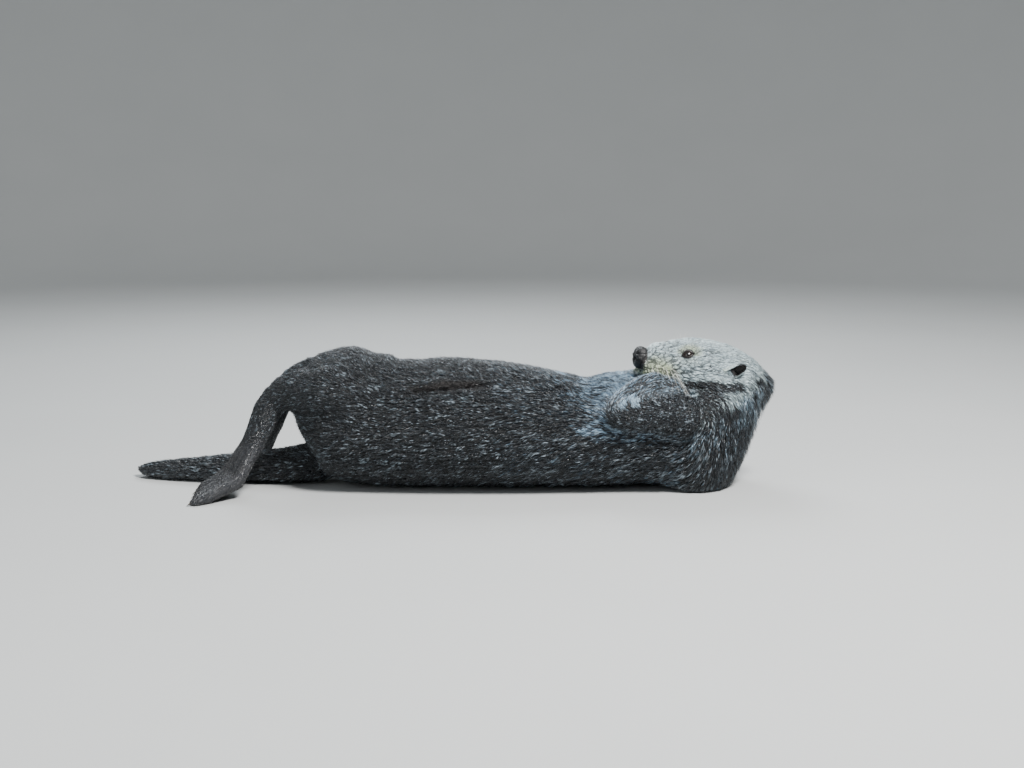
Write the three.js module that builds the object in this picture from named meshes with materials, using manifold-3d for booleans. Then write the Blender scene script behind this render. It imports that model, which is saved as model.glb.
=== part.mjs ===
// A sea otter as a still, life-size museum model. It lies on its back as it does when it floats: the
// head is raised and looks along the belly, the forelegs are folded over the chest, the knees are
// drawn up, the hind flippers droop to the floor and the tail lies out behind.
// Millimetres, +Z up. +X runs from the tail to the nape, so the animal's left side faces -Y.
// The outline is that of the coat's tips. The back, nape, tail and toes rest on flats at z = 0.
import * as THREE from "three";
import { mergeVertices } from "three/addons/utils/BufferGeometryUtils.js";
import Module from "manifold-3d";

const wasm = await Module();
wasm.setup();

// Driving dimensions.
const GAP = 0.3; // between pieces that touch
const BELLY_HEIGHT = 171; // from the floor to the top of the belly
const BODY_WIDTH = 224; // across the belly
const HEAD_AT = [285, 0, 146]; // middle of the skull, between the ears
const HEAD_TURN = 10; // degrees that the muzzle points to the animal's left
const HEAD_LIFT = 7; // degrees that it points above the level
const HEAD_LENGTH = 190; // from the back of the skull to the muzzle's front
const HEAD_WIDTH = 134; // across the cheeks
const HEAD_DEPTH = 100; // from the crown to the throat
const EYE_RADIUS = 9;
const EYE_AT = [62.5, 31.5, 24]; // from HEAD_AT: forwards, to the side, up
const EAR_AT = [13, 59, 11];
const EAR_LENGTH = 24;
const NOSE_AT = [116, 0, 12];
const NOSE_SIZE = [11.5, 17.5, 15]; // half its depth, width and height
const TAIL_LENGTH = 285;
const TAIL_WIDTH = 74;
const FOOT_WIDTH = 92; // a hind flipper, across the toes
const TOE_COUNT = 5;

const vec = (...p) => new THREE.Vector3(...p);
const UP = vec(0, 0, 1);

// ---- Closed skins over sections ------------------------------------------------------------------

// Takes a sphere's net and puts each vertex where place(along, angle) says: along runs from 0 at one
// pole to 1 at the other, and angle goes once round.
function net(around, rings, place) {
  const sphere = new THREE.SphereGeometry(1, around, rings);
  sphere.deleteAttribute("normal");
  sphere.deleteAttribute("uv");
  const closed = mergeVertices(sphere);
  const points = closed.getAttribute("position");
  const p = vec();
  for (let i = 0; i < points.count; i++) {
    p.fromBufferAttribute(points, i);
    const along = Math.acos(THREE.MathUtils.clamp(p.y, -1, 1)) / Math.PI;
    points.setXYZ(i, ...place(along, Math.atan2(p.z, p.x)).toArray());
  }
  return closed;
}

// How much of its full girth a form has at s, with its first and last stretches rounded off.
function roundedEnds(s, [first, last]) {
  const left = Math.min(1, s / first);
  const right = Math.min(1, (1 - s) / last);
  return Math.sqrt(Math.max(0, 1 - (1 - left) ** 2)) * Math.sqrt(Math.max(0, 1 - (1 - right) ** 2));
}

// A fleshy form along a smooth spine. Each station is [x, y, z, half width, height above the spine,
// depth below it]. square is 2 for an oval section and more for a boxier one. grow makes the whole
// form that much larger on every side, for cutting its neighbours clear of it.
function form(stations, options = {}) {
  const { up = UP, around = 12, rings = 8, ends = [0.2, 0.2], square = 2, grow = 0 } = options;
  const spine = new THREE.CatmullRomCurve3(stations.map((s) => vec(...s.slice(0, 3))), false, "catmullrom");
  const girth = new THREE.CatmullRomCurve3(stations.map((s) => vec(...s.slice(3))), false, "catmullrom");
  const bulge = (c) => Math.sign(c) * Math.abs(c) ** (2 / square);
  return net(around, rings, (along, angle) => {
    const s = (along + (1 - Math.cos(Math.PI * along)) / 2) / 2; // rings crowd towards both ends
    const at = spine.getPoint(s);
    const ahead = spine.getTangent(s);
    const side = up.clone().cross(ahead).normalize();
    const top = ahead.clone().cross(side);
    const size = girth.getPoint(s);
    const share = roundedEnds(s, ends);
    const height = Math.sin(angle) > 0 ? size.y : size.z;
    return at
      .addScaledVector(side, bulge(Math.cos(angle)) * (size.x * share + grow))
      .addScaledVector(top, bulge(Math.sin(angle)) * (height * share + grow))
      .addScaledVector(ahead, -Math.cos(Math.PI * along) * grow);
  });
}

// An egg or pad: a sphere with its own three half sizes, moved to a place.
function egg(at, half, { around = 12, rings = 8, grow = 0 } = {}) {
  const ball = new THREE.SphereGeometry(1, around, rings);
  return ball.scale(...half.map((h) => h + grow)).translate(...at);
}

// ---- Solids: joined, cut and turned back into meshes ---------------------------------------------

function solid(geometry, matrix = new THREE.Matrix4()) {
  const bare = geometry.clone().applyMatrix4(matrix);
  Object.keys(bare.attributes).forEach((name) => name !== "position" && bare.deleteAttribute(name));
  const merged = mergeVertices(bare, 1e-3);
  return new wasm.Manifold(
    new wasm.Mesh({
      numProp: 3,
      vertProperties: merged.getAttribute("position").array,
      triVerts: Uint32Array.from(merged.getIndex().array),
    }),
  );
}

const joined = (...solids) => solids.reduce((whole, piece) => whole.add(piece));

// A plane through `at` that faces `ahead`.
const plane = (at, ahead) => ({ at: vec(...at), ahead: vec(...ahead).normalize() });

// The two sides of a cut, behind and in front of the plane, half a gap back from it each.
function parted(whole, { at, ahead }) {
  const level = at.dot(ahead);
  const back = ahead.clone().negate();
  return [
    whole.trimByPlane(back.toArray(), GAP / 2 - level),
    whole.trimByPlane(ahead.toArray(), GAP / 2 + level),
  ];
}

const aboveFloor = (whole) => whole.trimByPlane([0, 0, 1], 0);

// A limb's lengths, from the body outwards, with one cut at each joint.
function lengths(whole, joints) {
  const pieces = [];
  let rest = whole;
  for (const joint of joints) {
    const [near, far] = parted(rest, joint);
    pieces.push(near);
    rest = far;
  }
  return [...pieces, rest];
}

// The plane that halves the bend at a joint, facing the limb's far end.
function bendAt(before, at, after) {
  const here = vec(...at);
  const arriving = here.clone().sub(vec(...before)).normalize();
  const leaving = vec(...after).sub(here).normalize();
  return plane(at, arriving.add(leaving).toArray());
}

const COAT = {
  dark: { color: 0x3d3937, roughness: 0.55 },
  arm: { color: 0x57504b, roughness: 0.6 },
  pale: { color: 0xc9c8bd, roughness: 0.7 },
  foot: { color: 0x2c2725, roughness: 0.55 },
  leather: { color: 0x1b191b, roughness: 0.4 },
  eye: { color: 0x120c0a, roughness: 0.05 },
};

const otter = new THREE.Group();

function addMesh(name, geometry, finish, parent = otter) {
  const mesh = new THREE.Mesh(geometry, new THREE.MeshStandardMaterial({ ...COAT[finish], metalness: 0 }));
  mesh.name = name;
  parent.add(mesh);
  return mesh;
}

// A solid as a mesh. Slivers that a cut leaves are dropped: the largest body is the piece.
function addSolid(name, whole, finish) {
  const bodies = whole.decompose().sort((a, b) => b.volume() - a.volume());
  const { vertProperties, triVerts } = bodies[0].getMesh();
  const geometry = new THREE.BufferGeometry()
    .setAttribute("position", new THREE.BufferAttribute(new Float32Array(vertProperties), 3))
    .setIndex(new THREE.BufferAttribute(new Uint32Array(triVerts), 1));
  geometry.computeVertexNormals();
  return addMesh(name, geometry, finish);
}

// ---- Head: skull, muzzle pads and jaw, in the head's own frame -----------------------------------

// The head looks back along the belly: forwards is -X, and its left side faces -Y.
const headGroup = new THREE.Group();
headGroup.position.set(...HEAD_AT);
headGroup.rotation.order = "ZYX";
headGroup.rotation.z = THREE.MathUtils.degToRad(180 + HEAD_TURN);
headGroup.rotation.y = THREE.MathUtils.degToRad(-HEAD_LIFT);
headGroup.updateMatrixWorld(true);
otter.add(headGroup);
const headFrame = headGroup.matrixWorld;

function skull(grow) {
  const back = -0.37 * HEAD_LENGTH;
  const front = 0.61 * HEAD_LENGTH;
  const cheek = HEAD_WIDTH / 2;
  const deep = HEAD_DEPTH / 2;
  const stations = [
    [back, 0, -12, 0.68 * cheek, 0.56 * deep, 0.62 * deep],
    [-34, 0, -10, 0.95 * cheek, 0.82 * deep, 0.86 * deep],
    [0, 0, -8, cheek, 1.0 * deep, 0.9 * deep],
    [36, 0, -6, 0.88 * cheek, 1.06 * deep, 0.74 * deep],
    [67, 0, -3, 0.67 * cheek, 0.96 * deep, 0.6 * deep],
    [94, 0, 0, 0.54 * cheek, 0.76 * deep, 0.48 * deep],
    [front, 0, 2, 0.47 * cheek, 0.6 * deep, 0.36 * deep],
  ];
  return form(stations, { around: 20, rings: 13, ends: [0.3, 0.09], square: 2.25, grow });
}

function jaw(grow) {
  const stations = [
    [12, 0, -26, 42, 14, 18],
    [45, 0, -26, 35, 12, 15],
    [78, 0, -22, 27, 12, 12],
    [101, 0, -17, 19, 10, 10],
  ];
  return form(stations, { around: 12, rings: 6, square: 2.3, grow });
}

function headSolid(grow) {
  const muzzlePad = (side) => egg([99, 19 * side, -1], [21, 19, 17], { around: 9, rings: 6, grow });
  const lumps = [skull(grow), jaw(grow), muzzlePad(-1), muzzlePad(1)];
  return joined(...lumps.map((lump) => solid(lump, headFrame)));
}

// The mouth is closed: a slot under the muzzle pads parts the lower jaw from the head.
function mouthBlock(grow) {
  const [length, width, height] = [100, 140, 60];
  const block = new THREE.BoxGeometry(length + grow, width + 2 * grow, height + grow);
  block.rotateY(THREE.MathUtils.degToRad(-4));
  return solid(block.translate(38 + (length - grow) / 2, 0, -17 - (height - grow) / 2), headFrame);
}

// ---- Trunk and neck ------------------------------------------------------------------------------

function trunk(grow) {
  const high = BELLY_HEIGHT;
  const wide = BODY_WIDTH / 2;
  // Along the body: top and bottom as shares of the height, half width as a share of the belly's.
  const outline = [
    [-296, 0.72, 0.28, 0.46],
    [-262, 0.97, 0.12, 0.78],
    [-222, 1.045, 0.02, 0.91],
    [-160, 0.99, -0.025, 0.95],
    [-95, 1.005, -0.025, 1],
    [-15, 0.965, -0.025, 1],
    [50, 0.895, -0.025, 0.96],
    [102, 0.83, -0.025, 0.91],
    [142, 0.885, -0.025, 0.89],
    [168, 0.88, -0.025, 0.88],
    [196, 0.76, -0.025, 0.86],
    [232, 0.62, -0.02, 0.8],
    [282, 0.5, 0.08, 0.58],
  ];
  const stations = outline.map(([x, top, bottom, width]) => {
    const middle = (high * (top + bottom)) / 2;
    const half = (high * (top - bottom)) / 2;
    return [x, 0, middle, wide * width, half, half];
  });
  return solid(form(stations, { around: 22, rings: 21, ends: [0.09, 0.12], square: 2.15, grow }));
}

// The neck rises steeply from the shoulders to the back of the skull, in a ruff of loose skin.
function neck(grow) {
  const stations = [
    [228, 0, -14, 76, 54, 60],
    [240, 0, 34, 88, 68, 76],
    [256, 0, 80, 83, 68, 76],
    [270, 0, 118, 76, 66, 66],
    [276, 0, 150, 66, 62, 50],
    [268, 0, 182, 44, 34, 34],
  ];
  const up = vec(1, 0, 0); // the stations' heights are measured towards the nape
  return solid(form(stations, { up, around: 18, rings: 10, ends: [0.1, 0.34], square: 2.1, grow }));
}

// ---- Forelegs: folded, with the elbow at the side and the paw beside the throat --------------------

function foreleg(side) {
  const near = side < 0; // the left paw is tucked under the chin, and the right one lies lower
  const shoulder = [242, 68 * side, 98];
  const elbow = [131, 105 * side, 112];
  const wrist = near ? [180, 67 * side, 142] : [188, 79 * side, 129];
  const palm = near ? [203, 58 * side, 139] : [211, 74 * side, 131];
  const tip = near ? [228, 54 * side, 131] : [236, 68 * side, 127];
  const halfway = wrist.map((place, i) => (place + elbow[i]) / 2);
  const upper = [
    [...shoulder, 34, 34, 34],
    [188, 91 * side, 110, 28, 29, 28],
    [116, 105 * side, 112, 20, 20, 20],
  ];
  const lower = [
    [118, 108 * side, 108, 18, 18, 18],
    [...halfway, 21, near ? 22 : 19, 19],
    [...wrist, 20, near ? 19 : 15, 16],
    [...palm, 21, 13, 13],
    [...tip, 16, 8, 8],
  ];
  const toes = Array.from({ length: TOE_COUNT }, (_, i) => {
    const spread = i - (TOE_COUNT - 1) / 2;
    const across = vec(0.2, 0.95 * side, 0.15).multiplyScalar(7.5 * spread);
    const root = vec(...palm).add(across);
    const end = vec(...tip).add(vec(6 - 1.2 * spread ** 2, -2 * side, -2)).add(across.multiplyScalar(0.85));
    return form([[...root, 6, 7, 8], [...end, 5.5, 6.5, 6.5]], { around: 6, rings: 4, ends: [0.3, 0.25] });
  });
  const whole = joined(...[form(upper), form(lower, { rings: 9 }), ...toes].map((part) => solid(part)));
  const alongPaw = vec(...tip).sub(vec(...wrist)).toArray();
  return lengths(whole, [bendAt(shoulder, elbow, wrist), plane(wrist, alongPaw)]);
}

// ---- Hind legs: knees drawn up, flippers hanging from the ankles and flaring out on the floor -------

const DOWN_FOOT = [[0, 0, 0], [-25, 15, -50], [-51, 31, -99], [-112, 62, -119]]; // from the ankle
const TOE_REST = 3.5; // height of the toes' middle where they lie on the floor

// A webbed flipper: a sole that widens into a web with five toes in it, the outer one the longest.
function flipper(ankle, side) {
  const instep = vec(-0.45, 0.25 * side, 0.85);
  const line = DOWN_FOOT.map(([x, y, z]) => [ankle[0] + x, ankle[1] + y * side, ankle[2] + z]);
  const spine = new THREE.CatmullRomCurve3(line.map((p) => vec(...p)), false, "catmullrom");
  const onFoot = (share, out) => {
    const outwards = instep.clone().cross(spine.getTangentAt(share)).normalize();
    return spine.getPointAt(share).addScaledVector(outwards, -side * out).toArray();
  };
  const toes = Array.from({ length: TOE_COUNT }, (_, i) => {
    const place = i / (TOE_COUNT - 1); // 0 at the inner toe, 1 at the outer one
    const length = 0.84 + 0.16 * place;
    const out = FOOT_WIDTH * (place - 0.5) * 0.87;
    const [endX, endY] = onFoot(length, out);
    const stations = [
      [...onFoot(0.3, 0.3 * out), 9, 8, 8],
      [...onFoot(0.62, 0.7 * out), 8, 7, 7],
      [...onFoot(length - 0.1, 0.92 * out).slice(0, 2), TOE_REST + 3, 7.2, 6.5, 6.5],
      [endX, endY, TOE_REST, 6.5, 6, 6],
    ];
    return form(stations, { up: instep, around: 6, rings: 5, ends: [0.25, 0.12] });
  });
  const sole = [
    [ankle[0] + 9, ankle[1] - 4 * side, ankle[2] + 4, 19, 17, 17],
    [...onFoot(0.03, 0), 21, 19, 19],
    [...onFoot(0.22, 0), 20.5, 15.5, 15.5],
    [...onFoot(0.5, 0), 27, 9, 9],
    [...onFoot(0.72, 1), 35, 4.5, 4.5],
    [...onFoot(0.88, 4), 40, 3, 3],
  ];
  return [form(sole, { up: instep, around: 10, rings: 6, ends: [0.1, 0.06], square: 2.4 }), ...toes];
}

function hindLeg(side) {
  const hip = [-166, 54 * side, 78];
  const knee = [-238, 68 * side, 136];
  const ankle = [-313, 45 * side, 124];
  const leg = [
    [...hip, 44, 46, 46],
    [-206, 66 * side, 114, 43, 44, 44],
    [...knee, 34, 36, 36],
    [-276, 59 * side, 136, 27, 28, 28],
    [-318, 45 * side, 122, 20, 21, 20],
  ];
  const skins = [form(leg, { around: 14, rings: 11, ends: [0.14, 0.08] }), ...flipper(ankle, side)];
  const whole = aboveFloor(joined(...skins.map((skin) => solid(skin))));
  const belowAnkle = DOWN_FOOT[1].map((step, i) => ankle[i] + step * (i === 1 ? side : 1));
  return lengths(whole, [bendAt(hip, knee, ankle), bendAt(knee, ankle, belowAnkle)]);
}

// ---- Tail: flattened, tapering, laid out along the floor --------------------------------------------

function tail() {
  const root = -236;
  const wide = TAIL_WIDTH / 2;
  const at = (share) => root - share * TAIL_LENGTH;
  const stations = [
    [at(0), 0, 36, 1.05 * wide, 30, 36],
    [at(0.2), 0, 26, wide, 24, 27],
    [at(0.5), 5, 20, 0.86 * wide, 18, 21.5],
    [at(0.8), 17, 14.5, 0.62 * wide, 12.5, 16],
    [at(1), 30, 11, 0.36 * wide, 8, 12.5],
  ];
  const whole = solid(form(stations, { rings: 12, ends: [0.1, 0.16], square: 2.2 }));
  return lengths(aboveFloor(whole), [plane([at(0.52), 0, 0], [-1, 0, 0])]);
}

// ---- Assembly ---------------------------------------------------------------------------------------

// The head is everything above a slanting cut behind the ears, and the neck what is below it, as far
// as a cut across the shoulders. The chest keeps clear of the chin that lies on it.
const behindEars = plane([335, 0, 163], [-0.611, 0, 0.791]);
const shoulders = plane([222, 0, 60], [0.97, 0, -0.24]);
const hips = plane([-166, 0, 0], [1, 0, 0]);
const lastRib = plane([-12, 0, 0], [1, 0, 0]);
const core = aboveFloor(joined(trunk(0), neck(0), headSolid(0)));
const coreClear = joined(trunk(GAP), neck(GAP), headSolid(GAP));
const [below, above] = parted(core, behindEars);
const headOnly = parted(headSolid(0), behindEars)[1];
const head = headOnly.add(parted(above, shoulders)[1]);
const lowerJaw = head.intersect(mouthBlock(0));
const [trunkOnly] = parted(aboveFloor(joined(trunk(0), neck(0))), shoulders);
const [rump, belly, chest] = lengths(trunkOnly, [hips, lastRib]);

addSolid("chest", chest.subtract(headSolid(GAP)), "dark");
addSolid("belly", belly, "dark");
addSolid("rump", rump, "dark");
addSolid("lower_jaw", lowerJaw, "pale");

for (const [name, side] of [["left", -1], ["right", 1]]) {
  const [upperArm, forearm, paw] = foreleg(side).map((part) => part.subtract(coreClear));
  addSolid(`upper_arm_${name}`, upperArm, "arm");
  addSolid(`forearm_${name}`, forearm, "arm");
  addSolid(`paw_${name}`, paw, "arm");
  const [thigh, shank, foot] = hindLeg(side).map((part) => part.subtract(coreClear));
  addSolid(`thigh_${name}`, thigh, "dark");
  addSolid(`shank_${name}`, shank, "dark");
  addSolid(`flipper_${name}`, foot, "foot");
}

const [tailBase, tailTip] = tail().map((part) => part.subtract(trunk(GAP)));
addSolid("tail_base", tailBase, "dark");
addSolid("tail_tip", tailTip, "dark");

// Eyes, ears and nose sit in sockets that keep the gap all round.
const nose = (grow) => egg(NOSE_AT, NOSE_SIZE, { around: 12, rings: 8, grow });
const eyeball = (grow) => new THREE.SphereGeometry(EYE_RADIUS + grow, 12, 8);

// A small rolled ear that points up and back: a leaf-shaped cone, scooped out in front.
function ear(side, grow) {
  const along = (share) => [-0.58, 0.52 * side, 0.46].map((step) => step * EAR_LENGTH * share);
  const stations = [
    [...along(-0.45), 9, 6, 6],
    [...along(0.05), 9.5, 6, 6],
    [...along(0.6), 7.5, 4.5, 4.5],
    [...along(1.05), 4, 2.5, 2.5],
  ];
  return form(stations, { up: vec(0.35, side, 0), around: 8, rings: 6, grow });
}

function onHead([forwards, sideways, upwards], side) {
  return new THREE.Matrix4().makeTranslation(forwards, sideways * side, upwards);
}

let face = head.subtract(mouthBlock(GAP)).subtract(solid(nose(GAP), headFrame));
let ruff = parted(below, shoulders)[1];
addMesh("nose", nose(0), "leather", headGroup);
for (const [name, side] of [["left", 1], ["right", -1]]) {
  const eyeAt = onHead(EYE_AT, side);
  face = face.subtract(solid(eyeball(GAP), headFrame.clone().multiply(eyeAt)));
  const eye = addMesh(`eye_${name}`, eyeball(0), "eye", headGroup);
  eye.position.setFromMatrixPosition(eyeAt);
  const earAt = headFrame.clone().multiply(onHead(EAR_AT, side));
  const earClear = solid(ear(side, GAP), earAt);
  face = face.subtract(earClear);
  ruff = ruff.subtract(earClear);
  const scoop = solid(egg([3, 7 * side, 8], [6, 4.5, 9], { around: 6, rings: 5 }), earAt);
  addSolid(`ear_${name}`, solid(ear(side, 0), earAt).subtract(scoop), "pale");
}
addSolid("head", face, "pale");
addSolid("neck", ruff, "pale");

export default otter;
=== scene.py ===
# A sea otter as a still, life-size museum model, lying on its back with its head raised, wet as it
# comes from the water. Metres, +Z up; +X runs from the tail to the nape, the left side faces -Y.
import math

import bmesh
import bpy
import numpy as np
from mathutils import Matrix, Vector
from mathutils.bvhtree import BVHTree
from mathutils.kdtree import KDTree


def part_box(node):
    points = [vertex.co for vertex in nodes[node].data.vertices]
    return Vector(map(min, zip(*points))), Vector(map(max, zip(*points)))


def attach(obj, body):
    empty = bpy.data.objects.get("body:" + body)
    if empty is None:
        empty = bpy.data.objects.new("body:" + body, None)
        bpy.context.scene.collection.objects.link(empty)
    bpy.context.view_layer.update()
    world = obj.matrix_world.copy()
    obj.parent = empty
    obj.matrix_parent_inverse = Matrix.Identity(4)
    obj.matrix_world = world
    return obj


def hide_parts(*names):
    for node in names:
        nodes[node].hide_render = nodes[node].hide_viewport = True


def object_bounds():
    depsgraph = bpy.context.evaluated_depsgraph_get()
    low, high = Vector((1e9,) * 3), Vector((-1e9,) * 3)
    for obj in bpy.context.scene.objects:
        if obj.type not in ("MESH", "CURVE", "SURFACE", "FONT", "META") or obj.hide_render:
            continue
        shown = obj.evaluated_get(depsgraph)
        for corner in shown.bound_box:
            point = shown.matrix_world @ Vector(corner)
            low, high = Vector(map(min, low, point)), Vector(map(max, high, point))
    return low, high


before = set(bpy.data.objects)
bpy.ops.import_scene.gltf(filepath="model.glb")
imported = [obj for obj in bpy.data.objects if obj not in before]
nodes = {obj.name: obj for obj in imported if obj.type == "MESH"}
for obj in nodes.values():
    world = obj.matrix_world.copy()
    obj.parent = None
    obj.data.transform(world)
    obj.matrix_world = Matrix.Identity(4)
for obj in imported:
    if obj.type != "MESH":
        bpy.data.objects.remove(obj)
solid_box = [list(corner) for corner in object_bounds()]
MM = 0.001

# ---- Head frame ------------------------------------------------------------------------------------
# The face is set out from the middle of the skull: forwards to the muzzle, to the animal's left, and
# up to the crown. Its three directions come from where the eyes and the nose sit in the solids.


def middle(name):
    low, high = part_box(name)
    return np.array((low + high) / 2)


NOSE_FROM_SKULL = np.array([0.116, 0.0, 0.012])
NOSE_FROM_EYES = np.array([0.0535, -0.012])  # forwards and up

between_eyes = (middle("eye_left") + middle("eye_right")) / 2
head_left = middle("eye_left") - middle("eye_right")
head_left /= np.linalg.norm(head_left)
muzzle_line = middle("nose") - between_eyes
muzzle_line /= np.linalg.norm(muzzle_line)
drop = math.atan2(NOSE_FROM_EYES[1], NOSE_FROM_EYES[0])
above_line = np.cross(muzzle_line, head_left)
head_forward = muzzle_line * math.cos(drop) - above_line * math.sin(drop)
head_up = np.cross(head_forward, head_left)
HEAD_AXES = np.array([head_forward, head_left, head_up])
SKULL = middle("nose") - NOSE_FROM_SKULL @ HEAD_AXES


def in_head(points):
    """Row-frame points as forwards, left and up from the middle of the skull."""
    return (points - SKULL) @ HEAD_AXES.T


def from_head(points):
    return np.asarray(points) @ HEAD_AXES + SKULL


# ---- Skin ------------------------------------------------------------------------------------------
# One closed hide over the whole animal, in place of its flesh solids. It lies inside them by the
# depth of the wet coat, and carries the folds, the mouth, the brows and the seats of the eyes.

VOXEL = 3.3 * MM
CLOSE_GAPS = 0.45 * MM
COAT_DEPTH = {  # how far the hide lies under the tips of the coat, in millimetres
    "head": 2.4, "lower_jaw": 1.8, "nose": 1.2, "eye": 0.0, "ear": 3.0, "neck": 5.0, "chest": 5.0,
    "belly": 5.0, "rump": 5.0, "upper_arm": 3.2, "forearm": 2.6, "paw": 1.2, "thigh": 4.5,
    "shank": 3.4, "flipper": 0.9, "tail_base": 4.5, "tail_tip": 4.0,
}
SMOOTHING = {"head": 24, "lower_jaw": 12, "paw": 6, "flipper": 6, "forearm": 24, "nose": 6}


def kind_of(name):
    return name.replace("_left", "").replace("_right", "")


def swollen_solids(names):
    """The solids in one mesh, each a little larger so that the gaps between them close."""
    whole = bmesh.new()
    owner = []
    for name in names:
        part = bmesh.new()
        part.from_mesh(nodes[name].data)
        bmesh.ops.remove_doubles(part, verts=part.verts, dist=1e-5)
        part.normal_update()
        for vertex in part.verts:
            vertex.co += vertex.normal * CLOSE_GAPS
        swollen = bpy.data.meshes.new("swollen")
        part.to_mesh(swollen)
        whole.from_mesh(swollen)
        owner += [name] * len(swollen.polygons)
        part.free()
    mesh = bpy.data.meshes.new("solids")
    whole.to_mesh(mesh)
    tree = BVHTree.FromBMesh(whole)
    whole.free()
    return mesh, tree, owner


def in_scene(name, data):
    thing = bpy.data.objects.new(name, data)
    bpy.context.collection.objects.link(thing)
    return thing


def evaluated(thing):
    """An object's mesh as its modifiers leave it, in place of the object."""
    depsgraph = bpy.context.evaluated_depsgraph_get()
    result = bpy.data.meshes.new_from_object(thing.evaluated_get(depsgraph))
    bpy.data.objects.remove(thing)
    return result


def remeshed(mesh, voxel):
    rough = in_scene("rough", mesh)
    modifier = rough.modifiers.new("voxels", "REMESH")
    modifier.mode = "VOXEL"
    modifier.voxel_size = voxel
    return evaluated(rough)


def points_of(mesh):
    flat = np.empty(len(mesh.vertices) * 3)
    mesh.vertices.foreach_get("co", flat)
    return flat.reshape(-1, 3)


def put_points(mesh, points):
    mesh.vertices.foreach_set("co", np.ascontiguousarray(points).ravel())
    mesh.update()


def normals_of(mesh):
    flat = np.empty(len(mesh.vertices) * 3, np.float32)
    mesh.vertex_normals.foreach_get("vector", flat)
    return flat.reshape(-1, 3).astype(float)


def surface_tree(mesh):
    return BVHTree.FromPolygons(points_of(mesh).tolist(), [tuple(p.vertices) for p in mesh.polygons])


def by_kind(kinds, table, other):
    return np.array([table.get(k, other) for k in kinds], float)


class Neighbours:
    """The mean over each vertex's neighbours, for smoothing places and values over a mesh."""

    def __init__(self, mesh):
        pairs = np.empty(len(mesh.edges) * 2, np.int64)
        mesh.edges.foreach_get("vertices", pairs)
        a, b = pairs.reshape(-1, 2).T
        self.count = len(mesh.vertices)
        self.here = np.concatenate([a, b])
        self.there = np.concatenate([b, a])
        self.degree = np.maximum(np.bincount(self.here, minlength=self.count), 1)

    def mean(self, values):
        columns = values.reshape(self.count, -1)
        sums = [np.bincount(self.here, c[self.there], self.count) / self.degree for c in columns.T]
        return np.stack(sums, 1).reshape(values.shape)

    def spread(self, values, rounds):
        for _ in range(rounds):
            values = 0.5 * values + 0.5 * self.mean(values)
        return values

    def share(self, kinds, wanted, rounds):
        """1 on the wanted kinds of solid and 0 off them, with a soft border."""
        return self.spread(np.isin(kinds, wanted).astype(float), rounds)

    def blend(self, kinds, table, other, rounds):
        """Each kind's own value, with soft borders between the kinds."""
        return self.spread(by_kind(kinds, table, other), rounds)


def smoothed(points, around, rounds, share):
    """Takes out facets but keeps the girth: each round shrinks a little and then swells back."""
    share = share[:, None]
    for _ in range(rounds):
        points = points + 0.5 * share * (around.mean(points) - points)
        points = points - 0.52 * share * (around.mean(points) - points)
    return points


def refined(mesh, inside):
    """Halves the faces whose middle the test picks out."""
    fine = bmesh.new()
    fine.from_mesh(mesh)
    centres = np.array([f.calc_center_median() for f in fine.faces])
    picked = inside(centres)
    edges = {e for f, pick in zip(fine.faces, picked) if pick for e in f.edges}
    bmesh.ops.subdivide_edges(fine, edges=list(edges), cuts=1, use_grid_fill=True)
    fine.to_mesh(mesh)
    fine.free()
    return mesh


flesh = sorted(nodes)
solids, solid_tree, solid_owner = swollen_solids(flesh)


def owners(points):
    """The kind of solid that each point lies nearest to."""
    return np.array([kind_of(solid_owner[solid_tree.find_nearest(Vector(p))[2]]) for p in points])


def ramp(values, start, end):
    """0 at start, 1 at end, eased."""
    t = np.clip((values - start) / (end - start), 0, 1)
    return t * t * (3 - 2 * t)


def bump(distance, width):
    return np.exp(-((distance / width) ** 2))


hide = remeshed(solids, VOXEL)
kinds = owners(points_of(hide))
around = Neighbours(hide)
rounds = around.blend(kinds, SMOOTHING, 70, 6)
points = smoothed(points_of(hide), around, 6, np.ones(len(kinds)))
for step in range(8):
    points = smoothed(points, around, 8, np.clip(rounds / 8 - step, 0, 1))
put_points(hide, points)

# Slack skin bridges the hollow between the flank and the near thigh.
HIND_KINDS, HIND_FROM, HIND_ABOVE = ("thigh", "rump", "belly"), -0.11, 0.085
SLACK_ROUNDS, SLACK_SINKS, SLACK_RISES = 340, -3 * MM, 24 * MM
hind = np.isin(kinds, HIND_KINDS) & (points[:, 0] < HIND_FROM) & (points[:, 2] > HIND_ABOVE)
hind = around.spread(hind.astype(float), 14)
slack = points.copy()
for _ in range(SLACK_ROUNDS):
    slack += 0.5 * (around.mean(slack) - slack)
gain = ((slack - points) * normals_of(hide)).sum(1)
points = points + normals_of(hide) * (np.clip(gain, SLACK_SINKS, SLACK_RISES) * hind)[:, None]

# Over the drawn-up thighs it makes one dome, with a step down to the belly in front of it. Each pair
# says where, in millimetres, the shape begins and where it has its full height.
DOME_REAR, DOME_FRONT, DOME_SIDES, DOME_FOOT = (-284, -262), (-186, -212), (84, 68), (108, 124)
DOME_OVER, DOME_DROP, DOME_HALF = 7, 13, 65  # over the highest flesh, and down to the sides
STEP_FRONT, STEP_REAR, STEP_SIDES, STEP_FOOT = (-153, -166), (-262, -226), (96, 62), (118, 138)
STEP_HIGH = 5.5
SLAB, SLABS_FROM, SLABS_TO, CREST_HALF = 6.0, -300, -140, 75
DOME_SINKS, DOME_RISES = -4, 55
put_points(hide, points)
x, y, z = points.T / MM
facing_up = around.spread(ramp(normals_of(hide)[:, 2], 0.05, 0.45), 3)
slabs = np.arange(SLABS_FROM, SLABS_TO, SLAB)
crest = [z[(np.abs(x - slab) < SLAB) & (np.abs(y) < CREST_HALF)].max() for slab in slabs]
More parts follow.
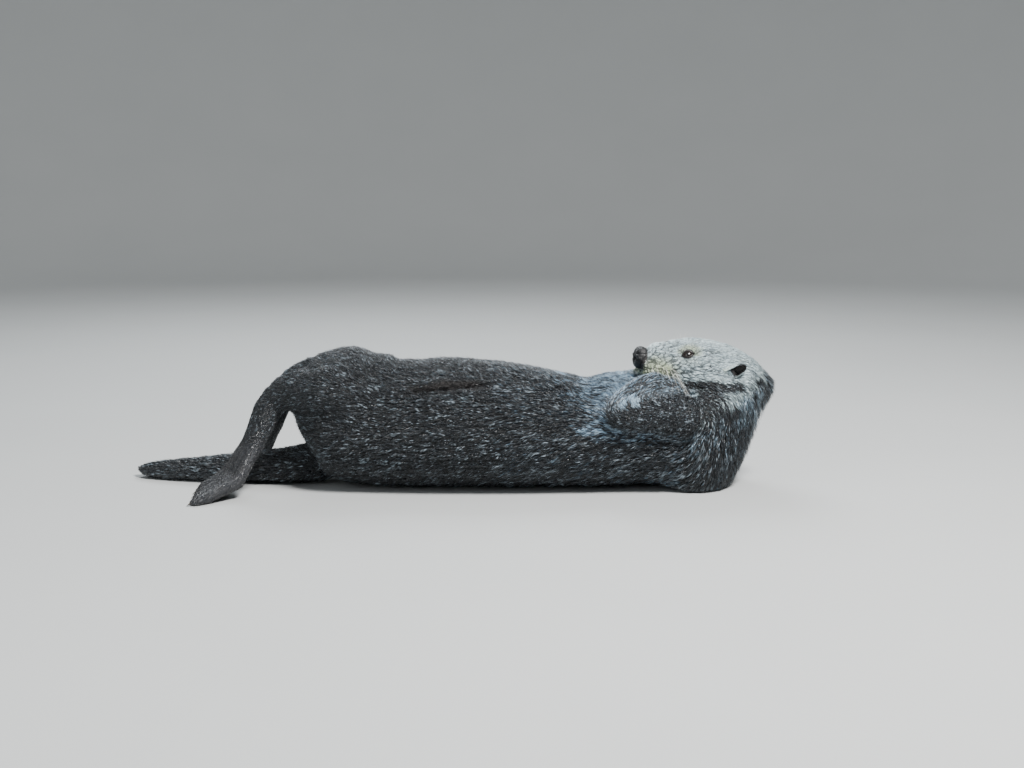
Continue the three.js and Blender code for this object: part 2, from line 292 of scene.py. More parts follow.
crest = np.convolve(np.pad(crest, 3, mode="edge"), np.ones(7) / 7, mode="valid")
arch = np.interp(x, slabs, crest) + DOME_OVER - DOME_DROP * (y / DOME_HALF) ** 2
between = ramp(x, *DOME_REAR) * ramp(x, *DOME_FRONT) * ramp(np.abs(y), *DOME_SIDES) * ramp(z, *DOME_FOOT)
rise = np.clip(arch - z, DOME_SINKS, DOME_RISES) * between * facing_up
on_top = ramp(np.abs(y), *STEP_SIDES) * ramp(z, *STEP_FOOT) * facing_up
rise += STEP_HIGH * ramp(x, *STEP_FRONT) * ramp(x, *STEP_REAR) * on_top
points[:, 2] += rise * MM
put_points(hide, smoothed(points, around, 8, np.clip(np.abs(rise) / 4, 0, 1)))

EYE_SIDES = {"eye_left": 1, "eye_right": -1}
FACE_FROM = 28 * MM
FINE_NEAR_EYE = 17 * MM
FINE_MUZZLE_FROM = 84 * MM
eye_middles = {name: in_head(middle(name)) for name in EYE_SIDES}
FACE_KINDS = ("head", "lower_jaw", "nose", "eye")


def on_face(points, start):
    """Points of the head's own solids, from so far in front of the middle of the skull."""
    local = in_head(points)
    picked = (local[:, 0] > start) & (local[:, 0] < 0.14) & (np.abs(local[:, 1:]) < 0.07).all(1)
    picked[picked] = np.isin(owners(points[picked]), FACE_KINDS)
    return picked


def near_eyes_and_nose(centres):
    local = in_head(centres)
    near = [np.linalg.norm(local - at, axis=1) < FINE_NEAR_EYE for at in eye_middles.values()]
    return on_face(centres, FACE_FROM) & (near[0] | near[1] | (local[:, 0] > FINE_MUZZLE_FROM))


for finer in (lambda centres: on_face(centres, FACE_FROM), near_eyes_and_nose):
    hide = refined(hide, finer)
    around = Neighbours(hide)
    share = around.spread(on_face(points_of(hide), FACE_FROM).astype(float), 3)
    put_points(hide, smoothed(points_of(hide), around, 4, share))

kinds = owners(points_of(hide))
depth = around.blend(kinds, COAT_DEPTH, 4, 10) * MM
put_points(hide, points_of(hide) - normals_of(hide) * depth[:, None])

# Webbed toes: five ridges on each flipper, from the ankle to where the toes of the solid end, and a
# thin web sunk between them.
TOES = 5


def unit(vectors):
    return vectors / np.maximum(np.linalg.norm(vectors, axis=-1, keepdims=True), 1e-9)


def toe_ends(name, ahead, outwards, wide):
    """The foremost place of each toe: the furthest point ahead in each of several strips across."""
    at = np.array([v.co for v in nodes[name].data.vertices])
    ahead, outwards = unit(np.array(ahead)), unit(np.array(outwards))
    across, along = at @ outwards, at @ ahead
    front = along > along.max() - 60 * MM
    low, high = across[front].min(), across[front].max()
    inset = (high - low) * (1 - wide) / 2
    ends = []
    for place_of in np.linspace(low + inset, high - inset, TOES):
        strip = np.abs(across - place_of) < (high - low) / TOES * 0.42
        ends.append(at[np.where(strip)[0][np.argmax(along[strip])]])
    return np.array(ends), ahead


FEET = {  # the way the toes point, across the foot, their spread, the claw's length
    "paw": ((0.96, -0.20, -0.12), (0.18, 0.75, 0.6), 0.72, 5.5 * MM),
    "flipper": ((-0.87, 0.44, -0.22), (0.44, 0.86, -0.02), 0.86, 7.5 * MM),
}
toe_tips = {}
for kind, (ahead, outwards, wide, _) in FEET.items():
    for name, side in ((kind + "_left", -1), (kind + "_right", 1)):
        mirror = np.array([1, side, 1])
        toe_tips[name] = toe_ends(name, ahead * mirror, outwards * mirror, wide)


def webbed(points, name):
    """How far to push each point of a flipper out along its normal."""
    ends, _ = toe_tips[name]
    at = np.array([v.co for v in nodes[name].data.vertices])
    ankle = at[at[:, 2] > at[:, 2].max() - 25 * MM].mean(0)
    down = ends.mean(0) - ankle
    bend = ankle + down * np.array([0.46, 0.46, 0.84])
    across = unit(ends[-1] - ends[0])
    ridges, between = np.zeros(len(points)), np.full(len(points), 1.0)
    for end in ends:
        off_middle = end - ends.mean(0)
        start = ankle + 0.28 * off_middle + 0.25 * down * np.array([0.3, 0.3, 1])
        line = [start, bend + 0.72 * off_middle, end]
        for a, b in zip(line[:-1], line[1:]):
            t = np.clip((points - a) @ (b - a) / ((b - a) @ (b - a)), 0, 1)
            off = points - a - t[:, None] * (b - a)
            near = np.linalg.norm(off, axis=1) < 16 * MM
            gap = np.abs(off @ across)
            ridges = np.maximum(ridges, near * bump(gap, 4.2 * MM))
            between = np.where(near, np.minimum(between, gap), between)
    web = ramp(between, 4.5 * MM, 8.5 * MM) * (between < 0.1)
    low = ramp(points[:, 2], 0.080, 0.045)
    return low * (2.6 * ridges - 2.0 * web) * MM


kinds = owners(points_of(hide))
around = Neighbours(hide)
points, normals = points_of(hide), normals_of(hide)
on_foot = around.share(kinds, "flipper", 3)
for name, side in (("flipper_left", -1), ("flipper_right", 1)):
    push = webbed(points, name) * on_foot * (points[:, 1] * side > 0)
    points = points + normals * push[:, None]
points[:, 2] = np.maximum(points[:, 2], 0.8 * MM)
put_points(hide, smoothed(points, around, 1, on_foot))

# Lids: the hide hugs each eyeball, and opens in an almond with its sharp ends at the two corners.
EYE_RADIUS = float(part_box("eye_left")[1].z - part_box("eye_left")[0].z) / 2
LID = 0.9 * MM
SLIT_HALF = 7.0 * MM
UPPER_LID = 4.7 * MM
LOWER_LID = 3.9 * MM


def eye_axes(side):
    """Outwards, towards the outer corner, and up, for one eye in the head's directions."""
    out = np.array([0.40, 0.80 * side, 0.42])
    out /= np.linalg.norm(out)
    back = np.array([-1.0, 0.0, 0.12])
    back -= out * (back @ out)
    back /= np.linalg.norm(back)
    up = np.cross(back, out) * -side
    return out, back, up


def almond(p, q):
    """Below 1 inside the slit between the lids."""
    height = np.where(q > 0, UPPER_LID, LOWER_LID)
    return np.abs(q) / height + (p / SLIT_HALF) ** 2


def shape_face(points, normals, face):
    """The folds of the face, in the head's own directions."""
    local = in_head(points)
    push = np.zeros(len(local))
    for name, side in EYE_SIDES.items():
        out, back, up = eye_axes(side)
        d = local - eye_middles[name]
        r = np.linalg.norm(d, axis=1)
        a, p, q = d @ out, d @ back, d @ up
        front = a > 0
        brow = bump(p + 1 * MM, 9 * MM) * bump(q - 9.5 * MM, 4.2 * MM)
        pouch = bump(p, 7 * MM) * bump(q + 7.4 * MM, 1.5 * MM)
        under = bump(p - 1 * MM, 9 * MM) * bump(q + 11 * MM, 3.2 * MM)
        tear = bump(q + 1.2 * MM + 0.45 * (p + SLIT_HALF), 1.5 * MM)
        tear = tear * ramp(p, -17 * MM, -10 * MM) * ramp(p, -5.5 * MM, -7.5 * MM)
        crow = bump(q - 0.8 * MM - 0.1 * p, 1.3 * MM)
        crow = crow * ramp(p, 16 * MM, 9 * MM) * ramp(p, 5.5 * MM, 7.5 * MM)
        folds = 1.5 * brow - 0.8 * pouch + 0.7 * under - 1.3 * tear - 0.9 * crow
        push += front * (r < 26 * MM) * folds * MM
    x, y, z = local.T
    line = (-16.5 + 3.0 * ramp(x, 58 * MM, 40 * MM) + 1.0 * bump(x - 112 * MM, 7 * MM)) * MM
    mouth = bump(z - line, 1.7 * MM) * ramp(x, 36 * MM, 46 * MM)
    lip = bump(z - line + 4.2 * MM, 2.2 * MM) + bump(z - line - 4.4 * MM, 2.4 * MM)
    split = bump(y, 1.5 * MM) * ramp(z, -19 * MM, -14 * MM) * ramp(z, 4 * MM, -2 * MM)
    split = split * ramp(x, 100 * MM, 108 * MM)
    stop = bump(y, 16 * MM) * bump(x - 83 * MM, 14 * MM) * ramp(z, 10 * MM, 24 * MM)
    push += (-3.2 * mouth + 0.5 * lip * ramp(x, 40 * MM, 52 * MM) - 1.8 * split - 0.8 * stop) * MM
    local = local + (normals @ HEAD_AXES.T) * (push * face)[:, None]
    for name, side in EYE_SIDES.items():
        out, back, up = eye_axes(side)
        d = local - eye_middles[name]
        r = np.linalg.norm(d, axis=1)
        aim = d / r[:, None]
        p, q = aim @ back * EYE_RADIUS, aim @ up * EYE_RADIUS
        slit = almond(p, q)
        hug = ramp(slit, 2.9, 1.4) * (aim @ out > 0.05) * (r < 19 * MM)
        sink = ramp(slit, 1.06, 0.9) * (aim @ out > 0.3)
        wanted = EYE_RADIUS + LID - sink * (LID + 2.6 * MM)
        local = local + aim * ((wanted - r) * hug)[:, None]
    return from_head(local)


face = ramp(around.share(kinds, FACE_KINDS, 3), 0.35, 0.85)
put_points(hide, shape_face(points_of(hide), normals_of(hide), face))

# The fold in the slack skin of the left side, between the belly and the flank: a deep slit under an
# upper lip that hangs over it.
CREASE = [[-131, -82, 142], [-102, -80, 142], [-80, -79, 144], [-62, -78, 146.5], [-32, -76, 151]]
CREASE = np.array(CREASE) * MM
CREASE_WIDE, CREASE_DEEP = 4.4, 21.0


def crease_profile(points):
    """How far each point lies from the fold's line, how far uphill of it, and the fold's strength."""
    near = np.full(len(points), 1.0)
    above = np.zeros(len(points))
    share = np.zeros(len(points))
    length = len(CREASE) - 1
    for index, (a, b) in enumerate(zip(CREASE[:-1], CREASE[1:])):
        t = np.clip((points - a) @ (b - a) / ((b - a) @ (b - a)), 0, 1)
        off = points - a - t[:, None] * (b - a)
        distance = np.linalg.norm(off, axis=1)
        closer = distance < near
        near = np.where(closer, distance, near)
        above = np.where(closer, off @ unit(np.array([0, 0.8, 0.6])), above)
        share = np.where(closer, (index + t) / length, share)
    wave = 0.85 + 0.15 * np.cos(share * 4 * math.pi + 0.6)
    return near, above, wave * np.sin(np.clip(share, 0.015, 0.985) * math.pi) ** 0.5


for reach in (16 * MM, 9 * MM):
    hide = refined(hide, lambda centres: crease_profile(centres)[0] < reach)
hide_tree = surface_tree(hide)
CREASE = np.array([hide_tree.find_nearest(Vector(p))[0] for p in CREASE])
around = Neighbours(hide)
points = points_of(hide)
put_points(hide, smoothed(points, around, 5, (crease_profile(points)[0] < 12 * MM).astype(float)))
points, normals = points_of(hide), normals_of(hide)
gap, above, strength = crease_profile(points)
strength = strength * (gap < 40 * MM) * MM
upper, lower = ramp(above, -2 * MM, 3 * MM), ramp(above, 2 * MM, -3 * MM)
roll = upper * bump(gap - 8 * MM, 5.5 * MM) * 3.4 + lower * bump(gap - 9 * MM, 6 * MM) * 1.6
roll = roll - bump(gap, CREASE_WIDE * MM) * CREASE_DEEP
hang = upper * bump(gap - 4 * MM, 4.5 * MM) * 4.6
downhill = unit(np.array([-0.04, -0.75, -0.66]))
put_points(hide, points + normals * (roll * strength)[:, None] + downhill * (hang * strength)[:, None])

# Inside each ear the hide stays low, so that the cup of the ear is open.
EAR_AXIS = np.array([-0.58, 0.52, 0.46])
ear_middles = [in_head(middle(name)) for name in ("ear_left", "ear_right")]


def along_ears(local):
    """How far each point lies out along the ear of its side, how far off its line, and its direction."""
    sides = np.where(local[:, 1] > 0, 1, -1)
    axes = unit(EAR_AXIS * np.stack([np.ones(len(local)), sides, np.ones(len(local))], 1))
    off = local - np.where(sides[:, None] > 0, *ear_middles)
    out_along = (off * axes).sum(1)
    return out_along, np.linalg.norm(off - out_along[:, None] * axes, axis=1), axes


local = in_head(points_of(hide))
ear_depth, off_line, axes = along_ears(local)
sunk = np.maximum(ear_depth - 1 * MM, 0) * ramp(off_line, 13 * MM, 10 * MM) * (ear_depth < 24 * MM)
put_points(hide, from_head(local - 0.9 * sunk[:, None] * axes))

# ---- Lie of the coat -------------------------------------------------------------------------------
# Which way the fur is combed at each place on the hide, how long and dense it is there, and how it
# is marked: pale grey on the head, frosted on the chest, near black with silver tips over the rest.

kinds = owners(points_of(hide))
points, normals = points_of(hide), normals_of(hide)
around = Neighbours(hide)
FACE_CENTRE = np.array([118, 0, 4]) * MM
HEAD_KINDS = FACE_KINDS + ("ear",)
FLOW = {  # along the row frame, with the middle number outwards from the middle of the body
    "neck": (-0.30, 0.0, -1.0), "chest": (-1.0, 0.05, -0.16), "belly": (-1.0, 0.0, -0.08),
    "rump": (-1.0, 0.0, -0.10), "upper_arm": (-1.0, 0.28, 0.10), "forearm": (0.9, -0.42, 0.28),
    "paw": (0.9, -0.2, -0.05), "thigh": (-0.85, 0.15, 0.45), "shank": (-0.9, -0.28, -0.2),
    "flipper": (-0.72, 0.36, -0.60), "tail_base": (-1.0, 0.0, -0.1), "tail_tip": (-1.0, 0.0, 0.0),
}


def laid_flat(vectors, normals):
    return unit(vectors - normals * (vectors * normals).sum(-1, keepdims=True))


def combed(points, normals, kinds, around):
    """The direction of the fur: outwards from the nose on the head, towards the tail elsewhere."""
    flow = np.array([FLOW.get(k, (0, 0, 0)) for k in kinds], float)
    flow[:, 1] *= np.where(points[:, 1] < 0, -1, 1)
    nape = (kinds == "neck") * ramp(points[:, 0], 0.300, 0.335)
    throat = (kinds == "neck") * ramp(points[:, 0], 0.262, 0.215)
    flow += nape[:, None] * np.array([0.55, 0, 0.1]) + throat[:, None] * np.array([-1.0, 0, 0.5])
    head = np.isin(kinds, HEAD_KINDS)
    away = unit(in_head(points) - FACE_CENTRE) @ HEAD_AXES
    back_of_head = ramp(in_head(points)[:, 0], -20 * MM, -62 * MM)[:, None]
    away = unit(away * (1 - back_of_head) + back_of_head * np.array([0.55, 0, -0.75]))
    flow[head] = away[head]
    flow = laid_flat(unit(flow), normals)
    for _ in range(9):
        flow = laid_flat(around.spread(flow, 4), normals)
    return flow


flow = combed(points, normals, kinds, around)

COAT = {  # length, width, spacing in millimetres; clump across it, pull to its middle, its stretch; lift
    "head": (9.0, 1.2, 1.52, 5.5, 0.62, 0.36, 0.3), "lower_jaw": (4.5, 1.1, 1.3, 5.0, 0.5, 0.8, 0.0),
    "nose": (2.6, 0.9, 1.1, 4.0, 0.3, 1.0, 0.0), "eye": (1.8, 0.7, 1.0, 2.5, 0.3, 1.0, 0.0),
    "ear": (5.0, 1.2, 1.5, 5.0, 0.4, 0.6, 0.0), "neck": (19.0, 1.6, 1.92, 8.0, 0.75, 0.35, 1.6),
    "chest": (15.0, 1.25, 1.78, 6.2, 0.60, 0.35, 0.6), "belly": (10.0, 1.2, 1.78, 5.4, 0.58, 0.5, 0.5),
    "rump": (9.5, 1.2, 1.78, 5.2, 0.55, 0.5, 0.5), "upper_arm": (6.0, 1.2, 1.65, 4.5, 0.15, 0.6, 0.0),
    "forearm": (12.0, 1.25, 1.72, 5.5, 0.60, 0.35, 0.4), "paw": (6.0, 1.2, 1.5, 4.0, 0.4, 0.6, 0.0),
    "thigh": (9.0, 1.2, 1.78, 5.0, 0.52, 0.5, 0.4), "shank": (7.5, 1.4, 1.75, 4.2, 0.40, 0.6, 0.2),
    "flipper": (6.5, 1.3, 1.75, 4.0, 0.4, 0.6, 0.1), "tail_base": (12.0, 1.7, 1.95, 5.0, 0.5, 0.5, 0.5),
    "tail_tip": (13.0, 1.7, 1.95, 5.5, 0.5, 0.45, 0.8),
}


def coat_field(column):
    return around.blend(kinds, {kind: values[column] for kind, values in COAT.items()}, 2, 9)


def drawn_to(share, *goals):
    """Draws each field, where the share is 1, all the way to its goal."""
    for field, goal in goals:
        field += share * (goal - field)


length, width, spacing, clump, pull, stretch, lift = (coat_field(c) for c in range(7))
local = in_head(points)
head_share = around.share(kinds, FACE_KINDS, 4)
muzzle = ramp(local[:, 0], 52 * MM, 92 * MM) * head_share
eye_gap = np.min([np.linalg.norm(local - at, axis=1) for at in eye_middles.values()], axis=0)
by_eye = ramp(eye_gap, 22 * MM, 12 * MM) * head_share
nape = ramp(points[:, 0], 0.290, 0.330) * ramp(points[:, 2], 0.190, 0.150)
nape = nape * (1 - ramp(local[:, 0], -50 * MM, 0 * MM) * head_share)
under = ramp(points[:, 2], 0.016, 0.006) * ramp(normals[:, 2], -0.3, -0.8)
for size, at_muzzle, at_eye, at_nape, beneath in (
    (length, 4.0, 3.2, 27, 12), (width, 0.90, 0.80, 1.8, 3.6), (spacing, 1.08, 0.95, 1.8, 4.4),
    (clump, 7.0, 4.5, 9.5, 8), (pull, 0.55, 0.25, 0.85, 0.3), (stretch, 0.62, 0.8, 0.33, 0.5),
    (lift, 0.0, 0.0, 8.0, 0.0),
):
    for share, goal in ((muzzle, at_muzzle), (by_eye, at_eye), (nape, at_nape), (under, beneath)):
        drawn_to(share, (size, goal))

# Markings, from 0 dark to 1 pale, and the stains of yellow, bare skin and brown. The same masks
# also carry painted shade in the fold and the partings, painted highlights and painted sky reflection.
TONE = {
    "head": 1.0, "lower_jaw": 0.9, "nose": 0.8, "eye": 0.9, "ear": 0.9, "neck": 0.5, "chest": 0.1,
    "upper_arm": 0.10, "forearm": 0.30, "paw": 0.30,
}


def drift(points, wavelength, seed):
    """A soft random value between about -1 and 1, without any repeat that shows."""
    rng = np.random.default_rng(seed)
    total = np.zeros(len(points))
    for _ in range(9):
        wave = unit(rng.normal(size=3)) * 2 * math.pi / wavelength * rng.uniform(0.6, 1.6)
        total += np.sin(points @ wave + rng.uniform(0, 2 * math.pi))
    return total / 3.2


# Painted highlights: pale spots on the near elbow stand in for light shining on the wet fur.
PAINTED_GLINTS = [[151, -107, 126], [158, -106, 119], [141, -107, 118]]  # on the near elbow, where wet fur shines
PAINTED_GLINTS = [np.array(hide_tree.find_nearest(Vector(p) * MM)[0]) for p in PAINTED_GLINTS]


def paleness(points, kinds, around):
    """Pale head, dark parted fur and painted shade below the cheeks, grey nape, frosted chest, dark body.
    """
    x, _, z = points.T / MM
    wander = drift(points, 24 * MM, 5)
    tone = around.blend(kinds, TONE, 0.03, 4)
    throat = around.share(kinds, ("head", "lower_jaw", "neck", "ear"), 3)
    below = throat * ramp(z, 122 + 7 * wander, 92 + 7 * wander)
    # The dark collar below the cheek: dark parted fur, and painted shade under the cheek.
    collar = throat * ramp(x, 309 + 4 * wander, 294 + 4 * wander) * ramp(x, 212, 224)
    collar = collar * ramp(z, 149 + 1.5 * wander, 145 + 1.5 * wander)
    wrap = throat * ramp(x, 264, 280) * ramp(x, 322, 306) * ramp(z, 138, 133) * ramp(z, 114, 122)
    back_of_neck = throat * ramp(x, 300, 322) * ramp(z, 172, 150)
    for share, goal in ((collar, 0.13), (wrap, 0.66), (back_of_neck, 0.29), (below, 0.22)):
        drawn_to(share, (tone, goal))
    drawn_to(throat * ramp(z, 84, 40), (tone, 0.12))
    chest = around.share(kinds, "chest", 6)
    ragged = 11 * wander + 14 * drift(points, 75 * MM, 19)
    frost = ramp(x, 62 + ragged, 134 + ragged) * ramp(z, 66, 96) * chest
    tone += frost * (0.70 + 0.16 * drift(points, 30 * MM, 6) - tone)
    body = around.share(kinds, ("belly", "rump", "thigh", "shank", "chest"), 4)
    tone += body * (1 - frost) * 0.08 * np.maximum(drift(points, 22 * MM, 16), -0.5)
    tone += body * (1 - frost) * 0.07 * np.maximum(drift(points * np.array([0.5, 1, 1]), 50 * MM, 20), -0.4)
    # Painted highlight: round the spots on the elbow the fur is drawn pale, like light on wet fur.
    painted_shine = np.max([bump(np.linalg.norm(points - p, axis=1), 7 * MM) for p in PAINTED_GLINTS], axis=0)
    tone += ramp(painted_shine * (1 + 0.4 * drift(points, 7 * MM, 17)), 0.35, 0.75) * (1 - tone)
    return np.clip(tone, 0, 1)


tone = paleness(points, kinds, around)
fold_gap, above, fold_strength = crease_profile(points)
fold_gap = fold_gap + 0.9 * MM * drift(points, 10 * MM, 18)
# Painted shade: inside the fold the fur and the hide are darkened to near black, where the slit lies in
# shadow.
fold_shade = np.clip(ramp(fold_gap, 9.0 * MM, 5.6 * MM) * fold_strength * 1.8, 0, 1)
tone *= 1 - fold_shade
by_fold = ramp(fold_gap, 13 * MM, 6 * MM) * fold_strength
drawn_to(by_fold, (length, 6.0), (width, 1.1), (lift, 0.4))
over_fold = by_fold * ramp(above, 0, 3 * MM) * (1 - fold_shade)
flow = laid_flat(flow + over_fold[:, None] * downhill * 0.8, normals)
PAD = np.array([94, 20, -4]) * MM
pad_gap = np.min([
    np.linalg.norm((local - PAD * np.array([1, side, 1])) / np.array([1.2, 1, 1]), axis=1)
    for side in (-1, 1)
], axis=0)
# Round the eyes, and most above them, the fur is made yellower and darker: partly its own colour, partly
# painted shade under the brow. The yellow on the lip pads is the fur's own.
brow_side = np.where(local[:, 2] > eye_middles["eye_left"][2] + 2 * MM, 1.0, 0.35)
yellow = ramp(pad_gap, 34 * MM, 10 * MM) + 0.6 * ramp(eye_gap, 22 * MM, 12 * MM) * brow_side
yellow *= head_share
tone -= 0.26 * ramp(eye_gap, 20 * MM, 10 * MM) * brow_side * head_share
# Below the head the coat takes a bluish tint, strongest on the chest, arms, paws and neck: painted sky
# reflection on the wet fur.
SKY_SHEEN = {"chest": 0.9, "forearm": 0.9, "paw": 0.7, "neck": 0.7, "head": 0, "lower_jaw": 0}
sky_sheen = around.blend(kinds, SKY_SHEEN, 0.5, 8)
warmth = np.clip(0.5 + 0.5 * yellow - 0.5 * sky_sheen * (1 - head_share), 0, 1)
lid_gap = np.full(len(points), 9.0)
for name, side in EYE_SIDES.items():
    out, back, up = eye_axes(side)
    aim = unit(local - eye_middles[name])
    slit = almond(aim @ back * EYE_RADIUS, aim @ up * EYE_RADIUS)
    lid_gap = np.where((aim @ out > 0.3) & (eye_gap < 18 * MM), np.minimum(lid_gap, slit), lid_gap)
NOSE_CENTRE = NOSE_FROM_SKULL + np.array([2.4, 0.0, 0.4]) * MM
NOSE_HALF = np.array([9.2, 16.0, 14.6]) * MM
nose_gap = np.linalg.norm((local - NOSE_CENTRE) / (NOSE_HALF + 0.6 * MM), axis=1)
mouth_line = (-16.5 + 3.0 * ramp(local[:, 0], 58 * MM, 40 * MM)) * MM
lips = bump(local[:, 2] - mouth_line, 1.5 * MM) * ramp(local[:, 0], 40 * MM, 50 * MM) * head_share
bare = np.maximum.reduce([ramp(lid_gap, 1.75, 1.35), ramp(nose_gap, 1.19, 1.08) * head_share, 0.8 * lips])
ear_gap = np.min([np.linalg.norm(local - at, axis=1) for at in ear_middles], axis=0)
in_ear = ramp(ear_gap, 13 * MM, 9 * MM)
ear_depth, off_line, _ = along_ears(local)
tone += in_ear * (0.52 - 0.50 * ramp(ear_depth, -1 * MM, 6 * MM) - tone)
cup = ramp(off_line, 11 * MM, 8 * MM) * ramp(ear_depth, -3 * MM, 0) * (ear_gap < 20 * MM)
bare = np.maximum(bare, cup)
drawn_to(in_ear, (length, 2.8), (width, 0.9), (spacing, 1.1), (lift, 0.0))
foot = ramp(points[:, 2], 0.095, 0.045) * around.share(kinds, "flipper", 6)
brown = np.maximum(foot, 0.5 * in_ear * (tone < 0.5))
drawn_to(foot, (length, 2.8), (width, 1.0), (spacing, 1.95), (clump, 3.2))
CRACKS = {
    "chest": 0.85, "neck": 0.9, "forearm": 0.8, "belly": 0.9, "rump": 0.9, "thigh": 0.85, "tail_base": 0.7,
}
crackle = around.blend(kinds, CRACKS, 0.6, 8)
cheek = ramp(local[:, 0], 10 * MM, 52 * MM) * ramp(local[:, 2], 44 * MM, 26 * MM)
on_head = np.clip(0.45 + 0.16 * drift(points, 26 * MM, 8) + 0.6 * np.maximum(muzzle, cheek), 0, 1)
on_head *= 1 - 0.4 * ramp(local[:, 2], 36 * MM, 50 * MM) * (1 - muzzle)
crackle += head_share * (on_head - crackle)
crackle *= np.clip(0.80 + 0.40 * drift(points, 13 * MM, 14), 0.3, 1.15)
veined = ramp(local[:, 0], 46 * MM, 70 * MM) * ramp(local[:, 2], 33 * MM, 20 * MM) * head_share
veined = veined * ramp(eye_gap, 9 * MM, 13 * MM)
crackle = np.maximum(crackle, veined * np.clip(1.15 + 0.45 * drift(points, 15 * MM, 15), 0.55, 1.45))
TOGETHER = {"chest": 0.65, "neck": 0.7, "forearm": 0.6, "paw": 0.5, "head": 0.62}
together = around.blend(kinds, TOGETHER, 0.68, 8)


CLUMP_LEVEL = 1.25  # the clumps' size changes from place to place in steps of this ratio
CELL_PRIMES, LEVEL_PRIME = np.array([73856093, 19349663, 83492791]), 1000000007


def one_in_each_cell(places, size, ratio, cell_size):
    """Picks one place in each cell of a grid, whose cells grow with the size in steps of the ratio."""
    level = np.round(np.log(size) / math.log(ratio)).astype(np.int64)
    cell = np.floor(places / (cell_size * ratio**level)[:, None]).astype(np.int64)
    return np.unique(cell @ CELL_PRIMES + level * LEVEL_PRIME, return_index=True)[1]


class Clumps:
    """The clumps that wet fur dries into: cells over the hide, drawn out along the lie of the coat."""

    def __init__(self, points, size, seed):
        rng = np.random.default_rng(seed)
        order = rng.permutation(len(points))
        self.centres = points[order[one_in_each_cell(points[order], size[order], CLUMP_LEVEL, MM)]]
        self.chance = rng.random(len(self.centres))
        self.reach = rng.uniform(-0.22, 0.22, len(self.centres))
        self.tree = KDTree(len(self.centres))
        for index, centre in enumerate(self.centres):
            self.tree.insert(centre, index)
        self.tree.balance()

    def at(self, places, flow, size, stretch):
        """Each place's clump, its offset across the lie from the middle, how central it is, the parting."""
        near = np.array([[hit[1] for hit in self.tree.find_n(place_of, 6)] for place_of in places])
        off = places[:, None] - self.centres[near]
        along = (off * flow[:, None]).sum(2)
        across = off - along[:, :, None] * flow[:, None]
        distance = np.sqrt((along * stretch[:, None]) ** 2 + (across**2).sum(2)) / MM
        distance = distance - self.reach[near] * size[:, None]
        rank = np.argsort(distance, 1)
        rows = np.arange(len(places))
        first, second = distance[rows, rank[:, 0]], distance[rows, rank[:, 1]]
        parting = 1 - np.clip((second - first) / (0.9 + 0.14 * size), 0, 1)
        central = 1 - np.clip(first / (0.6 * size), 0, 1)
        return near[rows, rank[:, 0]], across[rows, rank[:, 0]], central, parting


def paint(mesh, name, channels):
    """Four values for each vertex, which the materials read."""
    attribute = mesh.attributes.new(name, "FLOAT_COLOR", "POINT")
    attribute.data.foreach_set("color", np.stack(channels, 1).astype(np.float32).ravel())


clumps = Clumps(points, clump, 31)
hide_rng = np.random.default_rng(11)
count = len(points)
short = ramp(length, 7.0, 3.5)
paint(hide, "fur", (tone, 0.22 + 0.45 * short, hide_rng.random(count), np.full(count, 0.5)))
# Painted shade: the crack mask darkens the partings and the whole fold, and the bare mask paints the fold
# near black.
partings_and_fold_shade = np.maximum(clumps.at(points, flow, clump, stretch)[3] * crackle, fold_shade)
black = np.maximum(bare, 0.98 * fold_shade)
paint(hide, "stain", (warmth, black, brown, partings_and_fold_shade))

# ---- Wet fur, the material -------------------------------------------------------------------------
# Guard hairs over dense underfur, darker where they part: the underfur shows there, and shade between
# the clumps is painted in. One group colours the hide and every tuft from the same masks, so that both
# carry the same markings.

DARK_ROOT, DARK_TIP = (0.0036, 0.0043, 0.0054), (0.023, 0.029, 0.038)
# Silver tips are the guard hairs' own colour, made bright and common enough to stand in for glints on the
# wet fur: partly painted highlight.
SILVER_AND_GLINT = (0.60, 0.72, 0.82)
PALE_ROOT, PALE_TIP = (0.44, 0.54, 0.60), (0.84, 0.99, 1.0)
# A yellow stain, and a bluish tint that is painted sky reflection on the wet fur.
YELLOW_FUR, SKY_SHEEN_TINT = (0.98, 0.90, 0.55), (0.50, 0.62, 0.79)
# The colour of bare skin, also used to paint the fold near black as shade.
BARE_SKIN_AND_FOLD_SHADE, BROWN_FUR = (0.010, 0.008, 0.008), (0.024, 0.018, 0.015)
DULL_DARK, DULL_PALE = (0.30, 0.30, 0.32), (0.50, 0.54, 0.58)  # what a dull tuft's colour is multiplied by
STRAND_SHADE, PARTING_SHADE = (0.25, 0.25, 0.26), (0.045, 0.050, 0.055)
LANES_APART, STRANDS_ACROSS, STRANDS_ALONG = 57.0, 5.0, 1.1
# The silver tips from this chance on are also painted glints.
SILVER_FROM, SILVER_FULL = 0.79, 0.92  # the chance at which a dark tuft has a silver tip


def group_of(name, inputs, outputs):
    tree = bpy.data.node_groups.new(name, "ShaderNodeTree")
    for socket, kind in inputs:
        tree.interface.new_socket(socket, in_out="INPUT", socket_type=kind)
    for socket, kind in outputs:
        tree.interface.new_socket(socket, in_out="OUTPUT", socket_type=kind)
    return tree, tree.nodes.new("NodeGroupInput"), tree.nodes.new("NodeGroupOutput")


def place(tree, kind, links=(), **settings):
    """A node with its inputs joined to other sockets or set to plain values."""
    node = tree.nodes.new(kind)
    for key, value in settings.items():
        setattr(node, key, value)
    for key, source in dict(links).items():
        if isinstance(source, bpy.types.NodeSocket):
            tree.links.new(source, node.inputs[key])
        else:
            node.inputs[key].default_value = source
    return node


